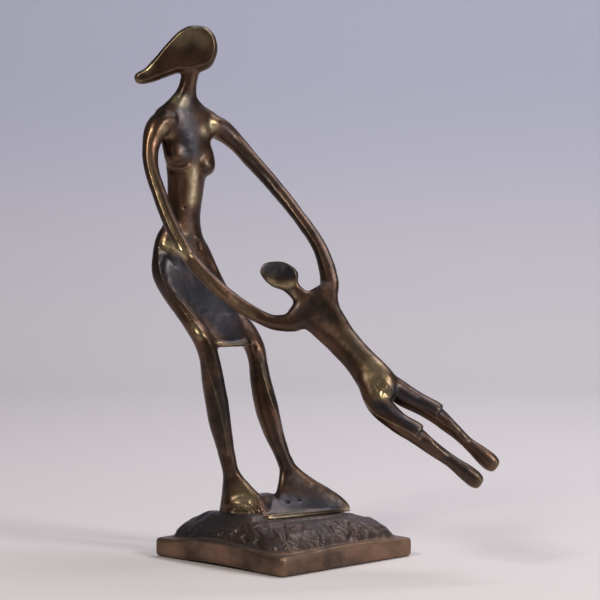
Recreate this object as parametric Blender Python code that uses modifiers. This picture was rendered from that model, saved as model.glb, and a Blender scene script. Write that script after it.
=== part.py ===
"""Mother and child sculpture: a standing mother with a swept skirt holds up a flying child.

The group is one bronze casting on a thin foot plate, and it stands on a cast square base with a
rocky mound. The origin is the centre of the base's underside, +Z is up, and the mother faces -Y.
"""

import math

import bmesh
import bpy
from mathutils import Matrix, Vector, noise

# Base, in metres.
SLAB_SIDE = 0.120
SLAB_HEIGHT = 0.0125
SLAB_CORNER = 0.0026
SLAB_EDGE = 0.0007
MOUND_INSET = 0.0042
MOUND_CORNER = 0.016
MOUND_HEIGHT = 0.0150
MOUND_SHOULDER = 0.0225
RELIEF = 0.0011

# Rise of the middle of each side of the slab above its corners: west, south, east, north.
TOP_RISE = (0.0046, 0.0016, 0.0026, 0.0022)
FOOT_RISE = (0.0019, 0.0003, 0.0008, 0.0006)

# Figures, in metres.
MOTHER_HEIGHT = 0.322
SEAT_GAP = 0.0003
GROUP_TURN = -45.0

# The figures are drawn in units of a 322nd of the mother's height, from the sole up.
UNIT = MOTHER_HEIGHT / 322.0
SOLE_LEVEL = SLAB_HEIGHT + MOUND_HEIGHT + SEAT_GAP
CELL = 1.15
SMOOTHING = 14
SWELL = 0.35
KEPT_SHARE = 0.050

# Directions of the mother, in the drawing frame: to her left, and ahead of her.
HER_LEFT = Vector((0.77, 0.64, 0.0))
AHEAD = Vector((0.64, -0.77, 0.0))
ACROSS_CHILD = Vector((0.76, 0.12, 0.62))
ALONG_CHILD = Vector((0.62, -0.22, -0.75))

# Stations: x, y, z, half-width along the side direction, half-depth.
TORSO = (
    (-66.5, 13.0, 162, 14.0, 10.5),
    (-67.0, 13.0, 178, 15.5, 10.5),
    (-67.0, 12.0, 192, 13.0, 8.8),
    (-64.8, 12.0, 209, 12.6, 8.8),
    (-63.8, 12.0, 232, 15.0, 10.2),
    (-63.2, 12.0, 243, 16.2, 9.8),
    (-63.0, 11.5, 253, 23.5, 8.6),
    (-63.8, 11.0, 262, 24.8, 7.4),
    (-65.4, 10.5, 268, 15.5, 6.8),
    (-65.2, 10.0, 273, 9.4, 6.2),
    (-63.4, 9.5, 279, 6.2, 5.6),
    (-61.6, 9.0, 287, 5.6, 5.4),
    (-58.0, 8.0, 299, 6.5, 6.0),
)
HEAD = (
    (-43.8, 8.0, 309, 3.0, 3.0),
    (-45.6, 8.0, 308.6, 8.0, 5.0),
    (-49.4, 8.0, 307.6, 12.2, 7.8),
    (-55.4, 8.0, 305.3, 15.2, 9.2),
    (-63.0, 7.5, 302.5, 14.2, 9.4),
    (-71.0, 7.0, 298.4, 10.6, 8.4),
    (-79.5, 6.0, 292.6, 7.6, 6.6),
    (-88.0, 4.5, 287.0, 5.2, 4.6),
    (-94.0, 3.4, 284.8, 4.2, 3.8),
    (-97.5, 3.0, 284.0, 2.4, 2.2),
)
NEAR_ARM = (
    (-74.0, 2.0, 257, 8.0, 7.5),
    (-81.5, -5.0, 253, 7.8, 7.2),
    (-85.6, -11.0, 240, 5.4, 5.8),
    (-84.8, -17.0, 225, 4.5, 4.8),
    (-78.8, -23.5, 207, 4.4, 4.7),
    (-69.0, -32.5, 184, 4.3, 4.6),
    (-54.0, -39.0, 161, 4.3, 4.6),
    (-31.5, -42.5, 141, 4.3, 4.5),
    (-11.0, -42.0, 128.5, 4.0, 4.4),
    (0.0, -41.0, 126.4, 4.6, 5.2),
    (8.0, -40.0, 127.6, 4.8, 6.6),
    (15.0, -39.0, 131, 4.0, 6.0),
)
FAR_ARM = (
    (-52.0, 20.0, 256, 8.2, 7.4),
    (-42.5, 27.0, 253, 7.4, 7.0),
    (-32.5, 30.0, 245, 5.8, 6.2),
    (-22.0, 28.0, 233, 5.1, 5.6),
    (-6.5, 21.5, 215.5, 4.7, 5.0),
    (10.4, 9.0, 194, 4.3, 4.7),
    (22.5, -5.0, 176, 4.5, 4.9),
    (28.3, -18.0, 160, 5.4, 5.0),
    (29.5, -27.0, 149, 6.6, 5.0),
    (27.5, -32.0, 142, 7.0, 4.8),
    (24.0, -36.0, 135, 5.0, 4.0),
)
CHILD_SHOULDERS = (
    (4.0, -40.5, 127.0, 4.6, 4.4),
    (10.0, -39.0, 131.5, 7.4, 4.6),
    (18.0, -37.0, 138, 8.0, 4.8),
    (25.5, -34.0, 143, 8.0, 4.8),
    (29.5, -29.0, 148, 6.0, 4.8),
)
NEAR_THIGH = (
    (-70.0, 8.0, 193, 5.5, 5.5),
    (-74.0, 6.0, 184, 8.2, 8.0),
    (-76.6, 4.5, 171, 9.2, 8.4),
    (-76.4, 1.0, 157, 9.2, 8.2),
    (-70.0, -3.5, 142, 8.6, 8.2),
    (-60.4, -9.0, 128, 7.6, 7.8),
    (-51.8, -13.5, 114, 6.8, 7.2),
    (-47.8, -14.0, 102, 6.2, 6.8),
    (-45.6, -12.5, 88, 7.0, 7.4),
    (-43.2, -12.0, 74, 7.4, 7.4),
    (-40.8, -12.0, 58.5, 7.0, 6.8),
    (-37.6, -12.0, 44, 5.7, 5.6),
    (-34.8, -12.0, 31, 5.0, 5.2),
    (-33.6, -12.2, 22, 4.4, 4.6),
)
FAR_THIGH = (
    (-62.0, 16.0, 186, 5.0, 5.5),
    (-58.0, 20.0, 175, 7.6, 8.0),
    (-53.4, 23.0, 162, 8.8, 8.8),
    (-46.5, 24.0, 147, 9.4, 9.0),
    (-36.6, 22.0, 133, 9.2, 8.6),
    (-26.2, 17.5, 120, 8.6, 7.8),
    (-19.8, 14.5, 109, 7.0, 7.0),
    (-17.2, 14.0, 99, 6.0, 6.4),
    (-15.0, 13.5, 85, 6.8, 7.2),
    (-11.4, 12.0, 69, 7.8, 7.8),
    (-6.8, 10.5, 52, 6.7, 6.6),
    (-2.0, 9.0, 40, 5.4, 5.6),
    (1.8, 8.5, 30, 5.0, 5.4),
    (4.4, 8.8, 21, 4.4, 4.8),
)
SKIRT = (
    (-66.5, 11.8, 181, 13.5, 9.5),
    (-67.4, 9.7, 165, 21.5, 9.5),
    (-61.8, 8.0, 150, 25.5, 9.5),
    (-52.7, 5.4, 135, 23.0, 9.0),
    (-43.1, 2.7, 122, 20.0, 8.0),
    (-35.6, 0.8, 109.5, 18.0, 7.5),
)
CHILD_BODY = (
    (14.0, -36.5, 144, 4.0, 3.6),
    (16.0, -37.0, 140, 9.5, 4.6),
    (20.0, -38.0, 135, 12.8, 5.2),
    (26.5, -40.0, 128, 12.4, 6.0),
    (36.0, -43.5, 116.5, 10.2, 6.8),
    (46.0, -48.0, 105.5, 9.6, 7.2),
    (54.5, -52.0, 95.5, 10.8, 7.6),
    (60.5, -55.0, 88, 11.4, 7.4),
    (65.0, -56.5, 82.5, 7.5, 6.4),
    (67.5, -57.0, 79.5, 3.5, 4.0),
)
CHILD_NECK = (
    (20.0, -38.0, 133, 7.5, 4.6),
    (13.6, -36.5, 140, 5.6, 4.6),
    (8.0, -36.0, 146, 4.8, 4.6),
    (2.5, -36.0, 151.5, 5.2, 5.0),
)
CHILD_HEAD = (
    (9.4, -36.0, 154.0, 2.6, 3.0),
    (6.8, -36.0, 154.6, 6.0, 5.8),
    (1.5, -36.0, 155.6, 8.2, 7.6),
    (-4.5, -36.0, 157.4, 8.2, 7.2),
    (-10.5, -36.0, 159.6, 5.6, 4.6),
    (-14.2, -36.0, 161.0, 2.4, 2.0),
)
CHILD_NEAR_LEG = (
    (51.0, -55.0, 93, 5.5, 5.5),
    (59.5, -60.0, 77.0, 7.4, 6.6),
    (71.0, -63.5, 66.0, 6.4, 6.0),
    (81.0, -65.5, 59.0, 5.6, 5.4),
    (91.0, -67.0, 51.2, 4.6, 5.0),
    (104.0, -68.5, 42.0, 3.9, 4.2),
    (112.0, -69.5, 36.0, 4.9, 4.4),
    (118.5, -70.0, 30.8, 5.4, 4.6),
    (122.6, -70.0, 28.0, 3.6, 3.0),
)
CHILD_FAR_LEG = (
    (60.0, -52.0, 95, 5.5, 5.5),
    (73.0, -51.5, 83.5, 7.2, 6.4),
    (86.5, -52.0, 75.6, 6.3, 5.8),
    (97.0, -53.0, 68.4, 5.4, 5.2),
    (107.0, -55.0, 59.8, 4.2, 4.6),
    (115.0, -56.0, 52.4, 3.6, 4.0),
    (122.5, -57.0, 46.0, 5.0, 4.4),
    (129.5, -58.0, 40, 5.4, 4.6),
    (133.5, -58.0, 37, 3.6, 3.0),
)

# Feet: heel, side and toe corners of the sole, then of the ankle, each x, y.
NEAR_FOOT = (
    ((-41.0, -8.0), (-34.0, -25.0), (-7.0, -20.0)),
    ((-35.4, -11.0), (-34.8, -12.6), (-34.0, -12.0)),
)
FAR_FOOT = (
    ((-3.0, 16.0), (-10.0, -25.0), (43.0, 12.5)),
    ((1.2, 9.6), (1.2, 7.6), (2.4, 8.5)),
)
FOOT_TOP = 36.0
SOLE_PLATE = ((-40.0, -7.0), (-34.0, -23.0), (-10.0, -24.0), (40.0, 12.0), (-6.0, 15.0))
PLATE_THICKNESS = 2.6

SIDES = 16
RING_SIDE = 14
RING_CORNER = 4


def spline(stations, steps):
    """Smooth curve through the stations, each a row of numbers."""
    rows = [tuple(float(value) for value in row) for row in stations]
    ends = [rows[0]] + rows + [rows[-1]]
    found = []
    for index in range(1, len(rows)):
        before, start, end, after = ends[index - 1 : index + 3]
        for step in range(steps):
            t = step / steps
            row = []
            for a, b, c, d in zip(before, start, end, after):
                curve = (c - a) * t + (2 * a - 5 * b + 4 * c - d) * t**2
                curve += (3 * b - a - 3 * c + d) * t**3
                row.append(b + curve / 2)
            found.append(row)
    found.append(list(rows[-1]))
    return found


def skin(target, rings):
    """Closed body through the rings, from the first to the last."""
    made = [[target.verts.new(point) for point in ring] for ring in rings]
    count = len(made[0])
    for lower, upper in zip(made, made[1:]):
        for index in range(count):
            after = (index + 1) % count
            target.faces.new((lower[index], lower[after], upper[after], upper[index]))
    target.faces.new(list(reversed(made[0])))
    target.faces.new(made[-1])


def oval(number, power):
    """Point of a unit oval, squarer with more power."""
    angle = math.tau * number / SIDES
    wide = math.copysign(abs(math.cos(angle)) ** (2 / power), math.cos(angle))
    deep = math.copysign(abs(math.sin(angle)) ** (2 / power), math.sin(angle))
    return wide, deep


def limb(target, stations, side, steps=4):
    """Body with oval sections square to the path through the stations."""
    rows = spline(stations, steps)
    centres = [Vector(row[:3]) for row in rows]
    rings = []
    for index, row in enumerate(rows):
        before = centres[max(index - 1, 0)]
        after = centres[min(index + 1, len(rows) - 1)]
        along = (after - before).normalized()
        across = (side - along * side.dot(along)).normalized()
        through = along.cross(across)
        ring = []
        for number in range(SIDES):
            wide, deep = oval(number, 2.0)
            offset = across * wide * (row[3] + SWELL) + through * deep * (row[4] + SWELL)
            ring.append(centres[index] + offset)
        rings.append(ring)
    skin(target, rings)


def level_body(target, stations, side, steps=4, power=2.0):
    """Body with level sections, wide along the side direction and squarer with more power."""
    through = Vector((-side.y, side.x, 0.0))
    rings = []
    for x, y, z, wide, deep in spline(stations, steps):
        centre = Vector((x, y, z))
        ring = []
        for number in range(SIDES):
            across, ahead = oval(number, power)
            ring.append(centre + side * across * (wide + SWELL) + through * ahead * (deep + SWELL))
        rings.append(ring)
    if rings[-1][0].z < rings[0][0].z:
        rings.reverse()
    skin(target, rings)


def ball(target, centre, radii, axis):
    """Ellipsoid with its first radius along the level axis."""
    across = axis.normalized()
    through = Vector((-across.y, across.x, 0.0))
    rings = []
    for level in range(1, 8):
        tilt = math.pi * level / 8 - math.pi / 2
        ring = []
        for number in range(SIDES):
            angle = math.tau * number / SIDES
            offset = across * math.cos(angle) * radii[0] + through * math.sin(angle) * radii[1]
            ring.append(centre + offset * math.cos(tilt) + Vector((0, 0, radii[2] * math.sin(tilt))))
        rings.append(ring)
    skin(target, rings)


def rounded_polygon(corners, radius, level):
    """Ring round the corners of a convex polygon, given anticlockwise, at a radius."""
    ring = []
    count = len(corners)
    for index, corner in enumerate(corners):
        before = Vector(corner) - Vector(corners[index - 1])
        after = Vector(corners[(index + 1) % count]) - Vector(corner)
        start = math.atan2(before.y, before.x) - math.pi / 2
        end = math.atan2(after.y, after.x) - math.pi / 2
        while end < start:
            end += math.tau
        for step in range(6):
            angle = start + (end - start) * step / 5
            x = corner[0] + radius * math.cos(angle)
            y = corner[1] + radius * math.sin(angle)
            ring.append(Vector((x, y, level)))
    return ring


def foot(target, sole, ankle, drop):
    """Fin of a foot, from its sole up to the ankle, hollowed on its open side."""
    rings = []
    for step in range(9):
        t = step / 8
        shares = (1 - (1 - t) ** 2, 1 - (1 - t) ** 2.4, t**drop * (3 - 2 * t) ** (drop - 1))
        corners = []
        for share, low, high in zip(shares, sole, ankle):
            corners.append(tuple(a + (b - a) * share for a, b in zip(low, high)))
        rings.append(rounded_polygon(corners, 1.6 + 2.2 * t, FOOT_TOP * t))
    skin(target, [[point - Vector((0, 0, 2)) for point in rings[0]]] + rings)


def sole_plate(target):
    """Thin plate that joins the feet."""
    rings = []
    for level in (-2.0, 0.0, PLATE_THICKNESS):
        rings.append(rounded_polygon(SOLE_PLATE, 2.0, level))
    skin(target, rings)


def mother(target):
    """Mother from her crown to her ankles."""
    level_body(target, TORSO, HER_LEFT)
    limb(target, HEAD, Vector((0.45, 0.0, 0.9)))
    for place, reach in ((-10.0, 4.4), (9.6, 5.4)):
        centre = Vector((-64.0, 12.0, 228.0)) + HER_LEFT * place + AHEAD * reach
        ball(target, centre, (8.4, 7.4, 8.0), HER_LEFT)
    limb(target, NEAR_ARM, AHEAD)
    limb(target, FAR_ARM, Vector((0.7, -0.3, 0.6)))
    level_body(target, NEAR_THIGH, HER_LEFT)
    level_body(target, FAR_THIGH, HER_LEFT)
    level_body(target, SKIRT, Vector((0.74, 0.67, 0.0)).normalized(), power=3.0)
    foot(target, *NEAR_FOOT, 1.0)
    foot(target, *FAR_FOOT, 2.0)
    sole_plate(target)
    ball(target, Vector((-13.0, -5.0, 0.0)), (22.0, 12.0, 14.5), Vector((0.5, 0.87, 0.0)))


def child(target):
    """Flying child, joined to the mother's hands at its shoulders."""
    limb(target, CHILD_BODY, ACROSS_CHILD)
    limb(target, CHILD_SHOULDERS, ALONG_CHILD)
    limb(target, CHILD_NECK, ACROSS_CHILD)
    limb(target, CHILD_HEAD, Vector((0.2, 0.0, 1.0)))
    limb(target, CHILD_NEAR_LEG, ACROSS_CHILD)
    limb(target, CHILD_FAR_LEG, ACROSS_CHILD)


def bronze(name, colour, roughness):
    """Patinated bronze."""
    material = bpy.data.materials.new(name)
    material.use_nodes = True
    shader = material.node_tree.nodes["Principled BSDF"]
    shader.inputs["Base Color"].default_value = (*colour, 1.0)
    shader.inputs["Metallic"].default_value = 0.85
    shader.inputs["Roughness"].default_value = roughness
    material.diffuse_color = (*colour, 1.0)
    return material


def place(name, drawn, material, collection):
    """Named object from the drawn shape."""
    mesh = bpy.data.meshes.new(name)
    drawn.to_mesh(mesh)
    drawn.free()
    mesh.materials.append(material)
    made = bpy.data.objects.new(name, mesh)
    collection.objects.link(made)
    return made


def figures(material, collection, helpers):
    """Mother and child as one casting."""
    drawn = bmesh.new()
    mother(drawn)
    child(drawn)
    bmesh.ops.recalc_face_normals(drawn, faces=drawn.faces)
    turn = Matrix.Rotation(math.radians(GROUP_TURN), 4, "Z")
    rise = Matrix.Translation((0.0, 0.0, SOLE_LEVEL))
    drawn.transform(rise @ turn @ Matrix.Scale(UNIT, 4))
    made = place("figures", drawn, material, collection)

    merged = made.modifiers.new("Merge", "REMESH")
    merged.mode = "VOXEL"
    merged.voxel_size = CELL * UNIT
    soft = made.modifiers.new("Soften", "SMOOTH")
    soft.factor = 0.5
    soft.iterations = SMOOTHING
    thinned = made.modifiers.new("Thin", "DECIMATE")
    thinned.ratio = KEPT_SHARE

    block = bmesh.new()
    bmesh.ops.create_cube(block, size=1.0)
    wide = 2 * SLAB_SIDE + MOTHER_HEIGHT
    block.transform(Matrix.Translation((0, 0, SOLE_LEVEL - 0.01)) @ Matrix.Diagonal((wide, wide, 0.02, 1)))
    cutter = place("sole_cut", block, material, helpers)
    cutter.hide_render = True
    cutter.display_type = "WIRE"
    cut = made.modifiers.new("Sole", "BOOLEAN")
    cut.operation = "DIFFERENCE"
    cut.solver = "EXACT"
    cut.object = cutter
    return made


def square_ring(half, corner):
    """Rounded square from its west side round, as (x, y, side, share along the side) rows."""
    ring = []
    straight = half - corner
    for side in range(4):
        turn = Matrix.Rotation(math.radians(90.0 * side), 2)
        rows = []
        for step in range(RING_SIDE):
            y = straight - 2 * straight * step / RING_SIDE
            rows.append((-half, y))
        for step in range(RING_CORNER):
            angle = math.pi + math.pi / 2 * step / RING_CORNER
            rows.append((-straight + corner * math.cos(angle), -straight + corner * math.sin(angle)))
        for x, y in rows:
            point = turn @ Vector((x, y))
            share = min(max((half - y) / (2 * half), 0.0), 1.0)
            ring.append((point.x, point.y, side, share))
    return ring


def lump(x, y):
    """Unevenness of the rocky mound, between -1 and 1."""
    rough = noise.noise(Vector((x * 62.0 + 3.1, y * 62.0 - 1.7, 0.4)))
    fine = noise.noise(Vector((x * 135.0 - 2.2, y * 135.0 + 5.3, 1.9)))
    return max(-1.0, min(1.0, 1.5 * rough + 0.8 * fine - 0.3))


def base(material, collection):
    """Square slab with a rocky mound, in one body."""
    half = SLAB_SIDE / 2
    top = SLAB_HEIGHT
    seat = SLAB_HEIGHT + MOUND_HEIGHT
    rows = [
        (0.62 * half, 0.2 * half, 0.0, 0.0, 0.0),
        (0.85 * half, 2 * SLAB_CORNER, 0.0, 0.0, 0.0),
        (half - 3 * SLAB_EDGE, SLAB_CORNER, 0.0, 0.8, 0.0),
        (half - 0.4 * SLAB_EDGE, SLAB_CORNER, 0.6 * SLAB_EDGE, 1.0, 0.0),
        (half, SLAB_CORNER, 2.4 * SLAB_EDGE, 1.0, 0.0),
    ]
    upper = [
        (half, SLAB_CORNER, top - 2.4 * SLAB_EDGE, 1.0, 0.0),
        (half - 0.5 * SLAB_EDGE, SLAB_CORNER, top - 0.7 * SLAB_EDGE, 1.0, 0.0),
        (half - 1.8 * SLAB_EDGE, SLAB_CORNER, top, 1.0, 0.0),
        (half - 0.8 * MOUND_INSET, 0.5 * MOUND_CORNER, top - 0.1 * SLAB_EDGE, 1.0, 0.0),
        (half - MOUND_INSET, 0.8 * MOUND_CORNER, top - 0.3 * SLAB_EDGE, 0.95, 0.0),
    ]
    start = half - MOUND_INSET
    for step in range(1, 9):
        t = step / 8
        inset = MOUND_SHOULDER * (1 - math.cos(t * math.pi / 2))
        rise = MOUND_HEIGHT * math.sin(t * math.pi / 2) ** 1.08
        relief = math.sin(math.pi * min(1.0, t * 1.15)) ** 0.6 if t < 0.87 else 0.0
        corner = MOUND_CORNER + 0.35 * inset
        upper.append((start - inset, corner, top + rise, 0.9 * (1 - t) ** 1.3, relief))
    inner = start - MOUND_SHOULDER
    for share in (0.8, 0.5, 0.2):
        upper.append((inner * share, 0.5 * inner * share, seat, 0.0, 0.0))

    rings = []
    for number, (size, corner, level, bow, relief) in enumerate(rows + upper):
        rises = FOOT_RISE if number < len(rows) else TOP_RISE
        ring = []
        for x, y, side, share in square_ring(size, corner):
            arch = rises[side] * bow * math.sin(math.pi * share) ** 2
            bump = RELIEF * relief * lump(x, y)
            z = level + arch + bump
            ring.append(Vector((x, y, min(z, seat))))
        rings.append(ring)
    drawn = bmesh.new()
    skin(drawn, rings)
    bmesh.ops.recalc_face_normals(drawn, faces=drawn.faces)
    bmesh.ops.triangulate(drawn, faces=drawn.faces)
    return place("base", drawn, material, collection)


def main():
    """Clears the scene, then builds the two pieces."""
    for old in list(bpy.data.objects):
        bpy.data.objects.remove(old)
    scene = bpy.context.scene
    pieces = bpy.data.collections.new("mother_and_child_sculpture")
    helpers = bpy.data.collections.new("cutters")
    scene.collection.children.link(pieces)
    scene.collection.children.link(helpers)
    figures(bronze("figure_bronze", (0.085, 0.062, 0.047), 0.38), pieces, helpers)
    base(bronze("base_bronze", (0.12, 0.085, 0.06), 0.45), pieces)


main()
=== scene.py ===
"""Mother and child sculpture: bronze figures on their rocky base, finished in patina with painted highlights
and painted reflection, and shown in a studio.

The figures and the base are shaped in drawing units: millimetres from the middle of the mother's soles,
with +X to the right of the picture, +Y away from the camera and +Z up. Each piece is then put in place
in the part's own frame.
"""

from __future__ import annotations

import logging
import math
from dataclasses import dataclass, field
from enum import Enum

import bmesh
import bpy
import numpy as np
from mathutils import Matrix, Vector, noise
from mathutils.bvhtree import BVHTree


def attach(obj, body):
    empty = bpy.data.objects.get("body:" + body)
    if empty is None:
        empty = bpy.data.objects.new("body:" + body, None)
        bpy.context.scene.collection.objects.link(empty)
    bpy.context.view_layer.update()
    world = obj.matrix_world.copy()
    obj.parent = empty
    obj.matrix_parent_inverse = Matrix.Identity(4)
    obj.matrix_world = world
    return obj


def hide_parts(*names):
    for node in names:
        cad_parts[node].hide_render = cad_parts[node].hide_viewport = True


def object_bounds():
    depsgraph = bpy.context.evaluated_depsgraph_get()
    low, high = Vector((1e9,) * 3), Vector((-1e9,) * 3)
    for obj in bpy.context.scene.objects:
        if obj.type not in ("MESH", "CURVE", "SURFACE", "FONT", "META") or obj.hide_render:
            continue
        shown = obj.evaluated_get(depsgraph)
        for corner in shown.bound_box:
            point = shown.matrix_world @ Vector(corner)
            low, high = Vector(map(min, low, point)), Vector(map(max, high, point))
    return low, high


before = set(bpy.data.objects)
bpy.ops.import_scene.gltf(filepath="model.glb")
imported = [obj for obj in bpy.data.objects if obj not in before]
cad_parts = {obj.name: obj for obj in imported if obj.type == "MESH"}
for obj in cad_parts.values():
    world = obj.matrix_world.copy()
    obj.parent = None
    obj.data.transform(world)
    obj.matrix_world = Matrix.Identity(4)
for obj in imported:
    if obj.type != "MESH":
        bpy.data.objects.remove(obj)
CAD_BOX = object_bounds()

Triple = tuple[float, float, float]
Rows = tuple[tuple[float, ...], ...]
Path = tuple[tuple[float, float], ...]
Socket = bpy.types.NodeSocket

LOG = logging.getLogger("sculpture")
PICTURE_SIDE = 600.0
PIXEL_WIDTH = 0.65
MOST_TRIANGLES = 190_000
DRAWN_IN = 0.006
BOX_MARGIN = 0.00002

SOLE_LEVEL = 0.0278
UNIT = 0.001
GROUP_TURN = -45.0
DRAWN_TO_PART = (
    Matrix.Translation((0.0, 0.0, SOLE_LEVEL))
    @ Matrix.Rotation(math.radians(GROUP_TURN), 4, "Z")
    @ Matrix.Scale(UNIT, 4)
)
HER_LEFT = Vector((0.77, 0.64, 0.0))
AHEAD = Vector((0.64, -0.77, 0.0))
ACROSS_CHILD = Vector((0.76, 0.12, 0.62))
ALONG_CHILD = Vector((0.62, -0.22, -0.75))


class Side(Enum):
    """Side of the sculpture that a stroke is laid on."""

    FRONT = "towards the camera"
    BACK = "away from the camera"


class Pattern(Enum):
    """Kind of unevenness that the casting has."""

    SOFT = "FBM"
    CREASED = "RIDGED_MULTIFRACTAL"


@dataclass(frozen=True)
class Sight:
    """Line of sight from the camera through a place in the picture, in drawing units."""

    eye: Triple = (10.7, -1200.0, 167.8)
    tilt: float = math.radians(1.33)
    focal: float = 1838.0
    middle: float = PICTURE_SIDE / 2
    far_side: float = 2400.0

    def axes(self) -> tuple[Vector, Vector, Vector]:
        """Works out the picture's directions.

        Returns:
            To the right, up and forward.
        """
        ahead = Vector((0.0, math.cos(self.tilt), -math.sin(self.tilt)))
        upward = Vector((0.0, math.sin(self.tilt), math.cos(self.tilt)))
        return Vector((1.0, 0.0, 0.0)), upward, ahead

    def ray(self, place: tuple[float, float], side: Side) -> tuple[Vector, Vector]:
        """Finds the ray through a place in the picture.

        Args:
            place: pixels from the left and from the top.
            side: side of the sculpture that the ray meets first.

        Returns:
            The start and the direction.
        """
        right, upward, ahead = self.axes()
        aim = right * (place[0] - self.middle) + upward * (self.middle - place[1]) + ahead * self.focal
        start, aim = Vector(self.eye), aim.normalized()
        if side is Side.BACK:
            return start + aim * self.far_side, -aim
        return start, aim

    def seen(self, points: np.ndarray) -> np.ndarray:
        """Finds where points show in the picture.

        Args:
            points: rows of x, y, z.

        Returns:
            Rows of pixels from the left and from the top.
        """
        right, upward, ahead = (np.array(axis) for axis in self.axes())
        offset = points - np.array(self.eye)
        depth = offset @ ahead
        across = self.middle + self.focal * (offset @ right) / depth
        down = self.middle - self.focal * (offset @ upward) / depth
        return np.stack([across, down], axis=1)


@dataclass(frozen=True)
class Stroke:
    """Ridge or groove pressed into the wax along a path in the picture, or a dent where it has one place."""

    path: Path
    width: float
    height: float
    side: Side = Side.FRONT


@dataclass(frozen=True)
class Facet:
    """Flat place left by the maker's knife: what stands past the plane is pared down to it."""

    centre: Triple
    facing: Triple
    level: float
    reach: float
    hollow: float = 0.0
    rim: float = 0.0
    fade: float = 0.4
    lowest: float = 0.0
    pared: float = 0.94
    rim_place: float = 0.25
    rim_width: float = 0.45


def spline(stations: Rows, steps: int) -> np.ndarray:
    """Draws a smooth curve through the stations.

    Args:
        stations: rows of numbers.
        steps: points for each span.

    Returns:
        Rows of the same numbers along the curve.
    """
    rows = np.array(stations, float)
    padded = np.vstack([rows[:1], rows, rows[-1:]])
    found = []
    for index in range(1, len(rows)):
        a, b, c, d = padded[index - 1 : index + 3]
        for step in range(steps):
            t = step / steps
            curve = (c - a) * t + (2 * a - 5 * b + 4 * c - d) * t**2 + (3 * b - a - 3 * c + d) * t**3
            found.append(b + curve / 2)
    found.append(rows[-1])
    return np.array(found)


def ramp(values: np.ndarray, low: float, high: float) -> np.ndarray:
    """Returns 0 at low, 1 at high and a smooth rise between."""
    t = np.clip((values - low) / (high - low), 0.0, 1.0)
    return t * t * (3.0 - 2.0 * t)


def skin(target: bmesh.types.BMesh, rings: list[list[Vector]]) -> None:
    """Adds the closed body through the rings.

    Args:
        target: mesh that takes the body.
        rings: rings of the same number of points, from the first end to the last.
    """
    made = [[target.verts.new(point) for point in ring] for ring in rings]
    count = len(made[0])
    for lower, upper in zip(made, made[1:]):
        for index in range(count):
            after = (index + 1) % count
            target.faces.new((lower[index], lower[after], upper[after], upper[index]))
    target.faces.new(list(reversed(made[0])))
    target.faces.new(made[-1])


def place(name: str, drawn: bmesh.types.BMesh) -> bpy.types.Object:
    """Makes an object of a drawn mesh.

    Args:
        name: the object's name.
        drawn: the mesh, which is freed.

    Returns:
        The object, linked into the scene.
    """
    mesh = bpy.data.meshes.new(name)
    drawn.to_mesh(mesh)
    drawn.free()
    made = bpy.data.objects.new(name, mesh)
    bpy.context.scene.collection.objects.link(made)
    return made


def settle(thing: bpy.types.Object) -> None:
    """Turns an object's modifiers into its mesh.

    Args:
        thing: the object.
    """
    graph = bpy.context.evaluated_depsgraph_get()
    mesh = bpy.data.meshes.new_from_object(thing.evaluated_get(graph))
    thing.modifiers.clear()
    old = thing.data
    thing.data = mesh
    bpy.data.meshes.remove(old)


def merge(thing: bpy.types.Object, cell: float, rounds: int) -> None:
    """Joins an object's bodies into one and softens it.

    Args:
        thing: the object.
        cell: size of the new mesh's cells.
        rounds: rounds of smoothing.
    """
    merged = thing.modifiers.new("Merge", "REMESH")
    merged.mode = "VOXEL"
    merged.voxel_size = cell
    soft = thing.modifiers.new("Soften", "SMOOTH")
    soft.factor = 0.5
    soft.iterations = rounds
    settle(thing)


class Nodes:
    """Node tree that is built up node by node."""

    def __init__(self, tree: bpy.types.NodeTree) -> None:
        """Keeps the tree that takes the nodes."""
        self.tree = tree

    def feed(self, entry: Socket, value: object) -> None:
        """Links a node's input to a socket, or sets it to a value.

        Args:
            entry: the input.
            value: the socket or the value.
        """
        if isinstance(value, Socket):
            self.tree.links.new(value, entry)
        else:
            entry.default_value = value

    def add(self, kind: str, links: dict[str | int, object], **settings: object) -> bpy.types.Node:
        """Adds a node.

        Args:
            kind: the node's type.
            links: input, by name or number, and what feeds it: a socket or a value.
            settings: the node's own settings.

        Returns:
            The node.
        """
        made = self.tree.nodes.new(kind)
        for label, value in settings.items():
            setattr(made, label, value)
        for label, value in links.items():
            self.feed(made.inputs[label], value)
        return made

    def sum_of(self, kind: str, first: object, second: object, clamp: bool = False) -> Socket:
        """Puts two values together.

        Args:
            kind: the arithmetic.
            first: a socket or a value.
            second: a socket or a value.
            clamp: keeps the result between 0 and 1.

        Returns:
            The result.
        """
        return self.add("ShaderNodeMath", {0: first, 1: second}, operation=kind, use_clamp=clamp).outputs[0]


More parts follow.
